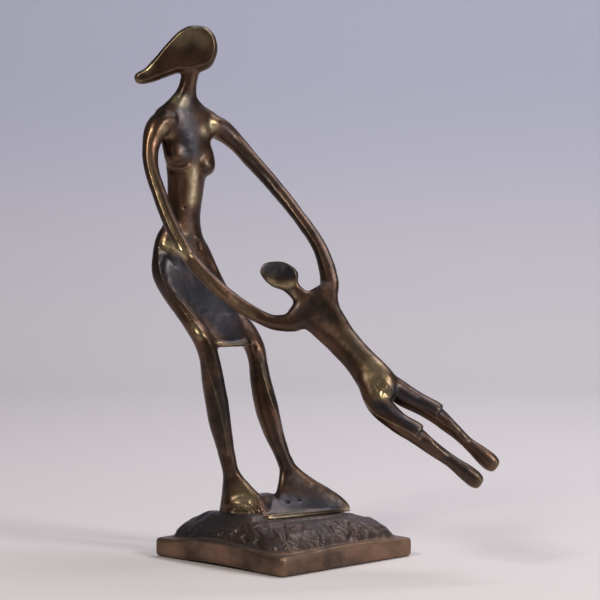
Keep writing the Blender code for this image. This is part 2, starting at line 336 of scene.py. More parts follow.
class Tree(Nodes):
    """Geometry node tree with named inputs that ends in Realize Instances and Set Material."""

    def __init__(self, name: str, inputs: dict[str, float]) -> None:
        """Starts a tree.

        Args:
            name: the tree's name.
            inputs: name and first value of each size. A whole number makes a whole number's input.
        """
        super().__init__(bpy.data.node_groups.new(name, "GeometryNodeTree"))
        self.keys: dict[str, str] = {}
        face = self.tree.interface
        face.new_socket("Geometry", in_out="INPUT", socket_type="NodeSocketGeometry")
        for label, value in inputs.items():
            kind = "NodeSocketInt" if isinstance(value, int) else "NodeSocketFloat"
            socket = face.new_socket(label, in_out="INPUT", socket_type=kind)
            socket.default_value = value
            self.keys[label] = socket.identifier
        metal = face.new_socket("Material", in_out="INPUT", socket_type="NodeSocketMaterial")
        self.keys["Material"] = metal.identifier
        face.new_socket("Geometry", in_out="OUTPUT", socket_type="NodeSocketGeometry")
        self.source = self.tree.nodes.new("NodeGroupInput")

    def given(self, name: str) -> Socket:
        """Returns the tree's input of that name."""
        return self.source.outputs[name]

    def close(self, shape: Socket) -> Tree:
        """Ends the tree.

        Args:
            shape: the geometry that comes out.

        Returns:
            The tree itself.
        """
        whole = self.add("GeometryNodeRealizeInstances", {"Geometry": shape})
        metal = self.add(
            "GeometryNodeSetMaterial", {"Geometry": whole.outputs[0], "Material": self.given("Material")}
        )
        self.feed(self.tree.nodes.new("NodeGroupOutput").inputs[0], metal.outputs[0])
        return self

    def bake(self, thing: bpy.types.Object, values: dict[str, object]) -> None:
        """Runs the tree on an object and keeps the result as its mesh.

        Args:
            thing: the object.
            values: value of each named input.
        """
        modifier = thing.modifiers.new(self.tree.name, "NODES")
        modifier.node_group = self.tree
        for label, value in values.items():
            modifier[self.keys[label]] = value
        settle(thing)


def bead_tree() -> Tree:
    """Builds the tree that sweeps a round bead along each chain of edges, as thick as its own attribute says.

    Returns:
        The tree.
    """
    tree = Tree("bead along an edge", {"Ring points": 10, "Spacing": 0.6, "Thickness": 1.0})
    path = tree.add("GeometryNodeMeshToCurve", {"Mesh": tree.given("Geometry")})
    spaced = {"Curve": path.outputs[0], "Length": tree.given("Spacing")}
    even = tree.add("GeometryNodeResampleCurve", spaced, mode="LENGTH")
    own = tree.add("GeometryNodeInputNamedAttribute", {"Name": "bead"})
    wide = tree.sum_of("MULTIPLY", own.outputs[0], tree.given("Thickness"))
    ring = tree.add(
        "GeometryNodeCurvePrimitiveCircle", {"Resolution": tree.given("Ring points"), "Radius": 1.0}
    )
    swept = tree.add(
        "GeometryNodeCurveToMesh",
        {"Curve": even.outputs[0], "Profile Curve": ring.outputs[0], "Scale": wide, "Fill Caps": True},
    )
    return tree.close(swept.outputs[0])


def crust_tree() -> Tree:
    """Builds the tree that scatters crumbs of rock where the surface's own attribute asks for them.

    Returns:
        The tree.
    """
    sizes = {"Density": 0.05, "Smallest": 0.5, "Largest": 1.2, "Flatness": 0.6, "Seed": 1}
    tree = Tree("crumbs on the rock", sizes)
    asked = tree.add("GeometryNodeInputNamedAttribute", {"Name": "crust"})
    thick = tree.sum_of("MULTIPLY", asked.outputs[0], tree.given("Density"))
    spots = tree.add(
        "GeometryNodeDistributePointsOnFaces",
        {"Mesh": tree.given("Geometry"), "Density": thick, "Seed": tree.given("Seed")},
    )
    crumb = tree.add("GeometryNodeMeshIcoSphere", {"Radius": 1.0, "Subdivisions": 2})
    drawn = tree.add(
        "FunctionNodeRandomValue",
        {2: tree.given("Smallest"), 3: tree.given("Largest"), "Seed": tree.given("Seed")},
        data_type="FLOAT",
    )
    size = drawn.outputs[1]
    low = tree.sum_of("MULTIPLY", size, tree.given("Flatness"))
    flat = tree.add("ShaderNodeCombineXYZ", {0: size, 1: size, 2: low})
    set_down = tree.add(
        "GeometryNodeInstanceOnPoints",
        {
            "Points": spots.outputs[0],
            "Instance": crumb.outputs[0],
            "Rotation": spots.outputs[2],
            "Scale": flat.outputs[0],
        },
    )
    joined = tree.add("GeometryNodeJoinGeometry", {0: set_down.outputs[0]})
    tree.feed(joined.inputs[0], tree.given("Geometry"))
    return tree.close(joined.outputs[0])


def relief_tree(pattern: Pattern) -> Tree:
    """Builds the tree that raises the surface by a noise, as far as its own attribute asks.

    Args:
        pattern: kind of noise.

    Returns:
        The tree.
    """
    names = {"Height": 0.2, "Scale": 0.1, "Detail": 3.0, "Middle": 0.5, "Swirl": 0.0, "Seed": 0.0}
    tree = Tree(f"{pattern.name.lower()} relief", names)
    flow = tree.add("GeometryNodeInputNamedAttribute", {"Name": "flow"}, data_type="FLOAT_VECTOR")
    grain = tree.add(
        "ShaderNodeTexNoise",
        {
            "Vector": flow.outputs[0],
            "W": tree.given("Seed"),
            "Scale": tree.given("Scale"),
            "Detail": tree.given("Detail"),
            "Roughness": 0.55,
            "Distortion": tree.given("Swirl"),
        },
        noise_dimensions="4D",
        noise_type=pattern.value,
    )
    level = tree.sum_of("SUBTRACT", grain.outputs[0], tree.given("Middle"))
    high = tree.sum_of("MULTIPLY", level, tree.given("Height"))
    asked = tree.add("GeometryNodeInputNamedAttribute", {"Name": "relief"})
    share = tree.sum_of("MULTIPLY", high, asked.outputs[0])
    outward = tree.add("GeometryNodeInputNormal", {})
    offset = tree.add("ShaderNodeVectorMath", {0: outward.outputs[0], 3: share}, operation="SCALE")
    moved = tree.add(
        "GeometryNodeSetPosition", {"Geometry": tree.given("Geometry"), "Offset": offset.outputs[0]}
    )
    return tree.close(moved.outputs[0])


@dataclass(frozen=True)
class Relief:
    """Unevenness of the casting, in drawing units."""

    height: float
    scale: float
    seed: float
    detail: float = 3.0
    middle: float = 0.5
    swirl: float = 0.0
    pattern: Pattern = Pattern.SOFT

    def bake(self, thing: bpy.types.Object, metal: bpy.types.Material) -> None:
        """Raises an object's surface, as far as its own attribute asks.

        Args:
            thing: the object.
            metal: its material.
        """
        sizes = {"Height": self.height, "Scale": self.scale, "Detail": self.detail, "Middle": self.middle}
        rest = {"Swirl": self.swirl, "Seed": self.seed, "Material": metal}
        relief_tree(self.pattern).bake(thing, sizes | rest)


@dataclass
class Clay:
    """Dense closed mesh that can be pressed and pared, and given values for bare bronze, painted highlights
    and painted reflection, before it is thinned and put in place.
    """

    thing: bpy.types.Object
    sight: Sight
    points: np.ndarray = field(init=False)
    normals: np.ndarray = field(init=False)
    surface: BVHTree = field(init=False)
    trace_spacing: float = 0.5
    facet_depth: float = 1.0
    facet_hollow: float = 0.3
    facet_fade: float = 3.0
    wear_rounds: tuple[tuple[str, int], ...] = (("edge", 4), ("form", 40))

    def __post_init__(self) -> None:
        """Reads the mesh."""
        self.read()

    def read(self) -> None:
        """Reads the points and normals from the mesh, and prepares its surface for rays."""
        mesh = self.thing.data
        self.points, self.normals = np.empty((len(mesh.vertices), 3)), np.empty((len(mesh.vertices), 3))
        mesh.vertices.foreach_get("co", self.points.ravel())
        mesh.vertices.foreach_get("normal", self.normals.ravel())
        bpy.context.view_layer.update()
        self.surface = BVHTree.FromObject(self.thing, bpy.context.evaluated_depsgraph_get())

    def write(self) -> None:
        """Puts the moved points back into the mesh."""
        self.thing.data.vertices.foreach_set("co", self.points.ravel())
        self.thing.data.update()

    def set_values(self, name: str, values: np.ndarray) -> None:
        """Stores a value, or a row of three, for each point.

        Args:
            name: the attribute's name.
            values: the values.
        """
        kind = "FLOAT" if values.ndim == 1 else "FLOAT_VECTOR"
        attributes = self.thing.data.attributes
        made = attributes.get(name) or attributes.new(name, kind, "POINT")
        made.data.foreach_set("value" if values.ndim == 1 else "vector", values.astype(np.float32).ravel())

    def trace(self, path: Path, side: Side = Side.FRONT) -> np.ndarray:
        """Lays a path of the picture on the surface.

        Args:
            path: places in the picture.
            side: side of the sculpture that it lies on.

        Returns:
            Points on the surface.
        """
        rows = np.array(path, float)
        if len(path) > 1:
            length = sum(math.dist(a, b) for a, b in zip(path, path[1:])) * PIXEL_WIDTH
            rows = spline(path, max(2, int(length / self.trace_spacing / (len(path) - 1))))
        hits = [self.surface.ray_cast(*self.sight.ray((row[0], row[1]), side))[0] for row in rows]
        return np.array([tuple(hit) for hit in hits if hit is not None]).reshape(-1, 3)

    def near(self, spots: np.ndarray, width: float) -> tuple[np.ndarray, np.ndarray]:
        """Measures how near the points are to some spots.

        Args:
            spots: rows of x, y, z.
            width: distance at which a bell curve has fallen to about a third.

        Returns:
            Numbers of the points in reach and a share for each, 1 at a spot.
        """
        if len(spots) == 0:
            return np.empty(0, int), np.empty(0)
        low, high = spots.min(0) - 3 * width, spots.max(0) + 3 * width
        reached = np.flatnonzero(((self.points > low) & (self.points < high)).all(1))
        here = self.points[reached]
        best = np.full(len(reached), np.inf)
        for spot in spots:
            best = np.minimum(best, ((here - spot) ** 2).sum(1))
        return reached, np.exp(-best / width**2)

    def press(self, stroke: Stroke) -> None:
        """Raises or sinks the surface along a stroke."""
        reached, share = self.near(self.trace(stroke.path, stroke.side), stroke.width)
        self.points[reached] += self.normals[reached] * (share * stroke.height)[:, None]

    def pare(self, facet: Facet) -> None:
        """Pares the surface down to a facet's plane.

        Args:
            facet: the facet.
        """
        centre, facing = np.array(facet.centre), np.array(facet.facing)
        facing = facing / np.linalg.norm(facing)
        offset = self.points - centre
        proud = offset @ facing - facet.level
        aside = np.linalg.norm(offset - np.outer(offset @ facing, facing), axis=1)
        chosen = np.flatnonzero((proud > -self.facet_depth) & (aside < facet.reach))
        depth = proud[chosen]
        share = 1.0 - ramp(aside[chosen], facet.reach * facet.fade, facet.reach)
        share *= ramp(self.points[chosen, 2], facet.lowest, facet.lowest + self.facet_fade)
        past = np.where(depth > 0, depth, 0.0)
        moved = past * facet.pared + facet.hollow * ramp(past, self.facet_hollow, self.facet_fade)
        moved -= facet.rim * np.exp(-(((depth - facet.rim_place) / facet.rim_width) ** 2))
        self.points[chosen] -= facing * (moved * share)[:, None]

    def smooth(self, rounds: int, points: np.ndarray) -> np.ndarray:
        """Averages points with their neighbours.

        Args:
            rounds: how many times.
            points: rows of x, y, z, one for each point of the mesh.

        Returns:
            The averaged rows.
        """
        mesh = self.thing.data
        ends = np.empty(len(mesh.edges) * 2, np.int32)
        mesh.edges.foreach_get("vertices", ends)
        first, last = ends[0::2], ends[1::2]
        count = np.bincount(ends, minlength=len(points))
        for _ in range(rounds):
            total = np.empty_like(points)
            for axis in range(3):
                total[:, axis] = np.bincount(first, points[last, axis], len(points))
                total[:, axis] += np.bincount(last, points[first, axis], len(points))
            points = 0.5 * points + 0.5 * total / count[:, None]
        return points

    def measure_wear(self) -> None:
        """Stores how much each point stands out or lies in a hollow, narrowly and broadly."""
        for name, rounds in self.wear_rounds:
            proud = ((self.points - self.smooth(rounds, self.points)) * self.normals).sum(1)
            self.set_values(name, proud)

    def draw_in(self) -> None:
        """Draws the mesh's ends in, so that none stands out of the solids' box."""
        placed = np.empty((len(self.thing.data.vertices), 3))
        self.thing.data.vertices.foreach_get("co", placed.ravel())
        for sign, corner in ((-1.0, CAD_BOX[0]), (1.0, CAD_BOX[1])):
            for axis in range(3):
                out = sign * placed[:, axis]
                limit = sign * corner[axis] - BOX_MARGIN
                start, most = limit - DRAWN_IN, out.max()
                if most > limit:
                    nearer = start + (out - start) * (limit - start) / (most - start)
                    placed[:, axis] = sign * np.where(out > start, nearer, out)
        self.thing.data.vertices.foreach_set("co", placed.ravel())

    def finish(self) -> None:
        """Thins the mesh to its limit and puts it in place in the part's frame."""
        self.write()
        self.thing.data.calc_loop_triangles()
        count = len(self.thing.data.loop_triangles)
        if count > MOST_TRIANGLES:
            thinned = self.thing.modifiers.new("Thin", "DECIMATE")
            thinned.ratio = MOST_TRIANGLES / count
            settle(self.thing)
        self.thing.data.transform(DRAWN_TO_PART)
        self.draw_in()
        self.thing.data.shade_smooth()
        self.thing.data.update()


@dataclass(frozen=True)
class Cloud:
    """Noise over a surface: how fine and detailed it is, and the levels at which it starts and is full."""

    scale: float
    detail: float
    start: float
    full: float


class Shading(Nodes):
    """Shader nodes of one material, which read Object coordinates and the mesh's own values."""

    def __init__(self, name: str, values: dict[str, float]) -> None:
        """Starts a material.

        Args:
            name: the material's name.
            values: values of the shader that are the same all over the surface.
        """
        self.material = bpy.data.materials.new(name)
        self.material.use_nodes = True
        super().__init__(self.material.node_tree)
        self.shader = self.tree.nodes["Principled BSDF"]
        for label, value in values.items():
            self.shader.inputs[label].default_value = value
        self.where = self.tree.nodes.new("ShaderNodeTexCoord").outputs["Object"]

    def spread(self, value: Socket, low: float, high: float, curve: str = "SMOOTHSTEP") -> Socket:
        """Returns a value, spread from 0 at low to 1 at high."""
        ends = {"Value": value, "From Min": low, "From Max": high}
        return self.add("ShaderNodeMapRange", ends, interpolation_type=curve).outputs[0]

    def value_of(self, name: str, low: float, high: float) -> Socket:
        """Returns an attribute of the mesh, spread from 0 at low to 1 at high."""
        own = self.add("ShaderNodeAttribute", {}, attribute_name=name)
        return self.spread(own.outputs["Fac"], low, high)

    def cloud(self, cloud: Cloud) -> Socket:
        """Adds a noise.

        Args:
            cloud: its sizes.

        Returns:
            The noise, between 0 and 1.
        """
        sizes = {"Vector": self.where, "Scale": cloud.scale, "Detail": cloud.detail, "Roughness": 0.6}
        grain = self.add("ShaderNodeTexNoise", sizes)
        return self.spread(grain.outputs[0], cloud.start, cloud.full, "LINEAR")

    def times(self, first: object, second: object) -> Socket:
        """Returns two values multiplied, kept between 0 and 1."""
        return self.sum_of("MULTIPLY", first, second, clamp=True)

    def plus(self, first: object, second: object) -> Socket:
        """Returns two values added, kept between 0 and 1."""
        return self.sum_of("ADD", first, second, clamp=True)

    def less(self, first: object, second: object) -> Socket:
        """Returns the second value taken from the first, kept between 0 and 1."""
        return self.sum_of("SUBTRACT", first, second, clamp=True)

    def mix(self, share: Socket, under: Socket | Triple, over: Socket | Triple) -> Socket:
        """Returns two colours mixed."""
        under, over = ((*colour, 1.0) if isinstance(colour, tuple) else colour for colour in (under, over))
        return self.add("ShaderNodeMix", {0: share, 6: under, 7: over}, data_type="RGBA").outputs[2]

    def close(self, **results: Socket) -> bpy.types.Material:
        """Feeds the shader.

        Args:
            results: input of the shader, with a low line for each space, and what feeds it.

        Returns:
            The material.
        """
        for label, value in results.items():
            self.feed(self.shader.inputs[label.replace("_", " ")], value)
        return self.material


@dataclass(frozen=True)
class BronzeFinish:
    """Brown patina over bronze, which shows gold where it stands out, with gold painted highlights and a
    blue-grey painted reflection and shade.
    """

    name: str
    deep: Triple = (0.022, 0.015, 0.011)
    brown: Triple = (0.124, 0.063, 0.037)
    russet: Triple = (0.140, 0.062, 0.034)
    # Blue-grey painted as a reflection of bluish light and as shade on the figures; on the base, the mound's
    # darker tone.
    steel_tone_and_reflection: Triple = (0.027, 0.027, 0.035)
    # Gold of bare bronze, also the colour of the painted highlights.
    gold: Triple = (0.58, 0.45, 0.26)
    metallic: float = 0.92
    coat: float = 0.22
    coat_roughness: float = 0.24
    sheen: tuple[float, float] = (0.19, 0.42)
    worn_edge: float = 0.20
    worn_form: float = 0.19
    rub_and_highlight_share: float = 0.8
    least_worn: float = 0.7
    fine_share: float = 0.2
    steel_tone_unworn: float = 0.75
    russet_share: float = 0.4
    steel_tone_and_reflection_share: float = 0.9
    hollow_share: float = 0.8
    polish_of_worn: float = 0.7
    polish_of_mottled: float = 0.4
    edge_range: tuple[float, float] = (0.030, 0.16)
    form_range: tuple[float, float] = (0.15, 0.85)
    hollow_range: tuple[float, float] = (-0.010, -0.12)
    mottled: Cloud = Cloud(42.0, 5.0, 0.36, 0.66)
    fine: Cloud = Cloud(378.0, 4.0, 0.40, 0.64)
    patches: Cloud = Cloud(23.1, 2.0, 0.52, 0.70)
    pitting: float = 0.00006
    pit_scale: float = 900.0
    grain_scale: float = 520.0

    def wear_and_highlights(self, nodes: Shading, cool: Socket) -> Socket:
        """Works out where the patina shows gold: bare bronze and painted highlights.

        Args:
            nodes: the material's nodes.
            cool: where blue-grey is painted as a reflection of bluish light and as shade, and less gold
                shows.

        Returns:
            The share of gold: bare bronze and painted highlight.
        """
        edge = nodes.times(nodes.value_of("edge", *self.edge_range), self.worn_edge)
        form = nodes.times(nodes.value_of("form", *self.form_range), self.worn_form)
        # Gold of the painted highlights, partly bare bronze.
        rubbed_and_highlit = nodes.times(nodes.value_of("rub", 0.0, 1.0), self.rub_and_highlight_share)
        worn_and_highlit = nodes.plus(nodes.plus(edge, form), rubbed_and_highlit)
        fine = nodes.times(nodes.cloud(self.fine), self.fine_share)
        worn_and_highlit = nodes.times(worn_and_highlit, nodes.plus(fine, self.least_worn))
        return nodes.times(worn_and_highlit, nodes.less(1.0, nodes.times(cool, self.steel_tone_unworn)))

    def bumps(self, nodes: Shading) -> Socket:
        """Makes the casting's fine pits and grain.

        Args:
            nodes: the material's nodes.

        Returns:
            The bumped normal.
        """
        pits = nodes.add("ShaderNodeTexVoronoi", {"Vector": nodes.where, "Scale": self.pit_scale})
        grain = nodes.add(
            "ShaderNodeTexNoise", {"Vector": nodes.where, "Scale": self.grain_scale, "Detail": 5.0}
        )
        height = nodes.add(
            "ShaderNodeMath",
            {0: pits.outputs["Distance"], 1: 0.5, 2: grain.outputs[0]},
            operation="MULTIPLY_ADD",
        )
        bump = nodes.add(
            "ShaderNodeBump", {"Strength": 0.55, "Distance": self.pitting, "Height": height.outputs[0]}
        )
        return bump.outputs[0]

    def material(self) -> bpy.types.Material:
        """Makes the material, which reads Object coordinates and the mesh's own values of bare bronze,
        painted highlight and painted reflection.

        Returns:
            The material.
        """
        nodes = Shading(
            self.name,
            {"Metallic": self.metallic, "Coat Weight": self.coat, "Coat Roughness": self.coat_roughness},
        )
        mottled = nodes.cloud(self.mottled)
        patch = nodes.cloud(self.patches)
        hollow = nodes.value_of("edge", *self.hollow_range)
        cool = nodes.value_of("cool", 0.0, 1.0)
        worn_and_highlit = self.wear_and_highlights(nodes, cool)
        colour = nodes.mix(mottled, self.deep, self.brown)
        colour = nodes.mix(nodes.times(patch, self.russet_share), colour, self.russet)
        # Blue-grey: painted reflection and shade on the figures, darker tone on the base's mound.
        colour = nodes.mix(nodes.times(cool, self.steel_tone_and_reflection_share), colour, self.steel_tone_and_reflection)
        # Gold: bare bronze and painted highlights.
        colour = nodes.mix(worn_and_highlit, colour, self.gold)
        colour = nodes.mix(nodes.times(hollow, self.hollow_share), colour, self.deep)
        polished = nodes.plus(
            nodes.times(worn_and_highlit, self.polish_of_worn), nodes.times(mottled, self.polish_of_mottled)
        )
        polished = nodes.less(polished, cool)
        glossy, dull = self.sheen
        sheen = nodes.add("ShaderNodeMapRange", {"Value": polished, "To Min": dull, "To Max": glossy})
        return nodes.close(Base_Color=colour, Roughness=sheen.outputs[0], Normal=self.bumps(nodes))


@dataclass(frozen=True)
class Ball:
    """Ellipsoid of wax: its centre, its radii and the level direction of the first radius."""

    centre: Triple
    radii: Triple
    axis: Triple


@dataclass
class Body:
    """Rounded bodies through stations: x, y, z, half-width along a side direction and half-depth."""

    points_round: int = 40
    steps: int = 8
    swell: float = 0.35
    ellipse: float = 2.0
    ball_levels: int = 20

    def oval(self, number: int, power: float) -> tuple[float, float]:
        """Finds a point of a unit oval.

        Args:
            number: number of the point.
            power: 2 for an ellipse, more for a squarer oval.

        Returns:
            Its share of the half-width and of the half-depth.
        """
        angle = math.tau * number / self.points_round
        wide = math.copysign(abs(math.cos(angle)) ** (2 / power), math.cos(angle))
        deep = math.copysign(abs(math.sin(angle)) ** (2 / power), math.sin(angle))
        return wide, deep

    def sections(self, stations: Rows, side: Vector) -> list[tuple[Vector, Vector, Vector, float, float]]:
        """Finds the oval sections square to the path through the stations.

        Args:
            stations: the stations.
            side: rough direction of the half-width.

        Returns:
            Centre, direction of width, direction of depth, half-width and half-depth of each.
        """
        rows = spline(stations, self.steps)
        centres = [Vector(row[:3]) for row in rows]
        found = []
        for index, row in enumerate(rows):
            along = (centres[min(index + 1, len(rows) - 1)] - centres[max(index - 1, 0)]).normalized()
            across = (side - along * side.dot(along)).normalized()
            wide, deep = row[3] + self.swell, row[4] + self.swell
            found.append((centres[index], across, along.cross(across), wide, deep))
        return found

    def limb(self, target: bmesh.types.BMesh, stations: Rows, side: Vector) -> None:
        """Adds a body with sections square to its path.

        Args:
            target: mesh that takes the body.
            stations: the stations.
            side: rough direction of the half-width.
        """
        rings = []
        for centre, across, through, wide, deep in self.sections(stations, side):
            ring = []
            for number in range(self.points_round):
                a, b = self.oval(number, self.ellipse)
                ring.append(centre + across * a * wide + through * b * deep)
            rings.append(ring)
        skin(target, rings)

    def level(self, target: bmesh.types.BMesh, stations: Rows, side: Vector, power: float = 2.0) -> None:
        """Adds a body with level sections.

        Args:
            target: mesh that takes the body.
            stations: the stations.
            side: direction of the half-width.
            power: 2 for ellipses, more for squarer sections.
        """
        through = Vector((-side.y, side.x, 0.0))
        rings = []
        for x, y, z, wide, deep in spline(stations, self.steps):
            ring = []
            for number in range(self.points_round):
                a, b = self.oval(number, power)
                offset = side * a * (wide + self.swell) + through * b * (deep + self.swell)
                ring.append(Vector((x, y, z)) + offset)
            rings.append(ring)
        if rings[-1][0].z < rings[0][0].z:
            rings.reverse()
        skin(target, rings)

    def ball(self, target: bmesh.types.BMesh, ball: Ball) -> None:
        """Adds an ellipsoid.

        Args:
            target: mesh that takes it.
            ball: its sizes and place.
        """
        centre, across = Vector(ball.centre), Vector(ball.axis).normalized()
        through = Vector((-across.y, across.x, 0.0))
        wide, deep, high = ball.radii
        rings = []
        for level in range(1, self.ball_levels):
            tilt = math.pi * level / self.ball_levels - math.pi / 2
            ring = []
            for number in range(self.points_round):
                angle = math.tau * number / self.points_round
                offset = across * math.cos(angle) * wide + through * math.sin(angle) * deep
                ring.append(centre + offset * math.cos(tilt) + Vector((0, 0, high * math.sin(tilt))))
            rings.append(ring)
        skin(target, rings)


@dataclass
class Mother:
    """Mother from her crown to her ankles, as rounded bodies that run into one another."""

    torso: Rows = (
        (-66.5, 13.0, 162, 14.0, 10.5),
        (-67.0, 13.0, 178, 15.5, 10.5),
        (-67.0, 12.0, 192, 13.0, 8.8),
        (-64.8, 12.0, 209, 12.6, 8.8),
        (-63.8, 12.0, 232, 15.0, 10.2),
        (-63.2, 12.0, 243, 16.2, 9.8),
        (-63.0, 11.5, 253, 23.5, 8.6),
        (-63.8, 11.0, 262, 24.8, 7.4),
        (-65.4, 10.5, 268, 15.5, 6.8),
        (-65.2, 10.0, 273, 9.4, 6.2),
        (-63.4, 9.5, 279, 6.2, 5.6),
        (-61.6, 9.0, 287, 5.6, 5.4),
        (-58.0, 8.0, 299, 6.5, 6.0),
    )
    head: Rows = (
        (-43.8, 8.0, 309, 3.0, 3.0),
        (-45.6, 8.0, 308.6, 8.0, 5.0),
        (-49.4, 8.0, 307.6, 12.2, 7.8),
        (-55.4, 8.0, 305.3, 15.2, 9.2),
        (-63.0, 7.5, 302.5, 14.2, 9.4),
        (-71.0, 7.0, 298.4, 10.6, 8.4),
        (-79.5, 6.0, 292.6, 7.6, 6.6),
        (-88.0, 4.5, 287.0, 5.2, 4.6),
        (-94.0, 3.4, 284.8, 4.2, 3.8),
        (-97.5, 3.0, 284.0, 2.4, 2.2),
    )
    near_arm: Rows = (
        (-74.0, 2.0, 257, 8.0, 7.5),
        (-81.5, -5.0, 253, 7.8, 7.2),
        (-85.6, -11.0, 240, 5.4, 5.8),
        (-84.8, -17.0, 225, 4.5, 4.8),
        (-78.8, -23.5, 207, 4.4, 4.7),
        (-69.0, -32.5, 184, 4.3, 4.6),
        (-54.0, -39.0, 161, 4.3, 4.6),
        (-31.5, -42.5, 141, 4.3, 4.5),
        (-11.0, -42.0, 128.5, 4.0, 4.4),
        (0.0, -41.0, 126.4, 4.6, 5.2),
        (8.0, -40.0, 127.6, 4.8, 6.6),
        (15.0, -39.0, 131, 4.0, 6.0),
    )
    far_arm: Rows = (
        (-52.0, 20.0, 256, 8.2, 7.4),
        (-42.5, 27.0, 253, 7.4, 7.0),
        (-32.5, 30.0, 245, 5.8, 6.2),
        (-22.0, 28.0, 233, 5.1, 5.6),
        (-6.5, 21.5, 215.5, 4.7, 5.0),
        (10.4, 9.0, 194, 4.3, 4.7),
        (22.5, -5.0, 176, 4.5, 4.9),
        (28.3, -18.0, 160, 5.4, 5.0),
        (29.5, -27.0, 149, 6.6, 5.0),
        (28.0, -32.5, 141, 7.6, 4.8),
        (29.0, -36.0, 132, 7.8, 4.6),
        (31.0, -39.0, 124, 4.4, 4.0),
    )
    near_thigh: Rows = (
        (-70.0, 8.0, 193, 5.5, 5.5),
        (-74.0, 6.0, 184, 8.2, 8.0),
        (-76.6, 4.5, 171, 9.2, 8.4),
        (-76.4, 1.0, 157, 9.2, 8.2),
        (-70.0, -3.5, 142, 8.6, 8.2),
        (-60.4, -9.0, 128, 7.6, 7.8),
        (-51.8, -13.5, 114, 6.8, 7.2),
        (-47.8, -14.0, 102, 6.2, 6.8),
        (-45.6, -12.5, 88, 7.0, 7.4),
        (-43.2, -12.0, 74, 7.4, 7.4),
        (-40.8, -12.0, 58.5, 7.0, 6.8),
        (-37.6, -12.0, 44, 5.7, 5.6),
        (-34.8, -12.0, 31, 5.0, 5.2),
        (-33.6, -12.2, 22, 4.4, 4.6),
    )
    far_thigh: Rows = (
        (-62.0, 16.0, 186, 5.0, 5.5),
        (-58.0, 20.0, 175, 7.6, 8.0),
        (-53.4, 23.0, 162, 8.8, 8.8),
        (-46.5, 24.0, 147, 9.4, 9.0),
        (-36.6, 22.0, 133, 9.2, 8.6),
        (-26.2, 17.5, 120, 8.6, 7.8),
        (-19.8, 14.5, 109, 7.0, 7.0),
        (-17.2, 14.0, 99, 6.0, 6.4),
        (-15.0, 13.5, 85, 6.8, 7.2),
        (-11.4, 12.0, 69, 7.8, 7.8),
        (-6.8, 10.5, 52, 6.7, 6.6),
        (-2.0, 9.0, 40, 5.4, 5.6),
        (1.8, 8.5, 30, 5.0, 5.4),
        (4.4, 8.8, 21, 4.4, 4.8),
    )
    skirt: Rows = (
        (-66.5, 11.8, 181, 13.5, 9.5),
        (-67.4, 9.7, 165, 21.5, 9.5),
        (-61.8, 8.0, 150, 25.5, 9.5),
        (-52.7, 5.4, 135, 23.0, 9.0),
        (-43.1, 2.7, 122, 20.0, 8.0),
        (-35.6, 0.8, 109.5, 18.0, 7.5),
    )
    breast: Rows = (
        (252.0, -2.5, 5.0, 4.0),
        (244.0, 0.2, 8.0, 6.0),
        (236.5, 2.8, 9.0, 7.0),
        (230.5, 4.6, 8.8, 7.4),
        (226.0, 5.2, 8.0, 7.0),
        (222.6, 4.2, 6.2, 5.2),
        (220.6, 2.0, 3.0, 2.6),
    )
    breasts: Rows = ((-9.6, -2.9, 6.0), (9.4, 0.2, 0.0))
    chest: tuple[float, float] = (-64.0, 12.0)
    near_arm_side: Triple = (0.64, -0.77, 0.0)
    far_arm_side: Triple = (0.7, -0.3, 0.6)
    head_side: Triple = (0.45, 0.0, 0.9)
    skirt_side: Triple = (0.74, 0.67, 0.0)
    skirt_squareness: float = 3.0

    def draw(self, target: bmesh.types.BMesh, body: Body) -> None:
        """Adds the mother's bodies.

        Args:
            target: mesh that takes them.
            body: maker of the bodies.
        """
        body.level(target, self.torso, HER_LEFT)
        body.limb(target, self.head, Vector(self.head_side))
        for aside, proud, raised in self.breasts:
            stations = []
            for level, reach, wide, deep in self.breast:
                middle = Vector((self.chest[0], self.chest[1], level + raised))
                centre = middle + HER_LEFT * aside + AHEAD * (reach + proud)
                stations.append((*centre, wide, deep))
            body.level(target, tuple(stations), HER_LEFT)
        body.limb(target, self.near_arm, Vector(self.near_arm_side))
        body.limb(target, self.far_arm, Vector(self.far_arm_side))
        for thigh in (self.near_thigh, self.far_thigh):
            body.level(target, thigh, HER_LEFT)
        body.level(target, self.skirt, Vector(self.skirt_side).normalized(), self.skirt_squareness)


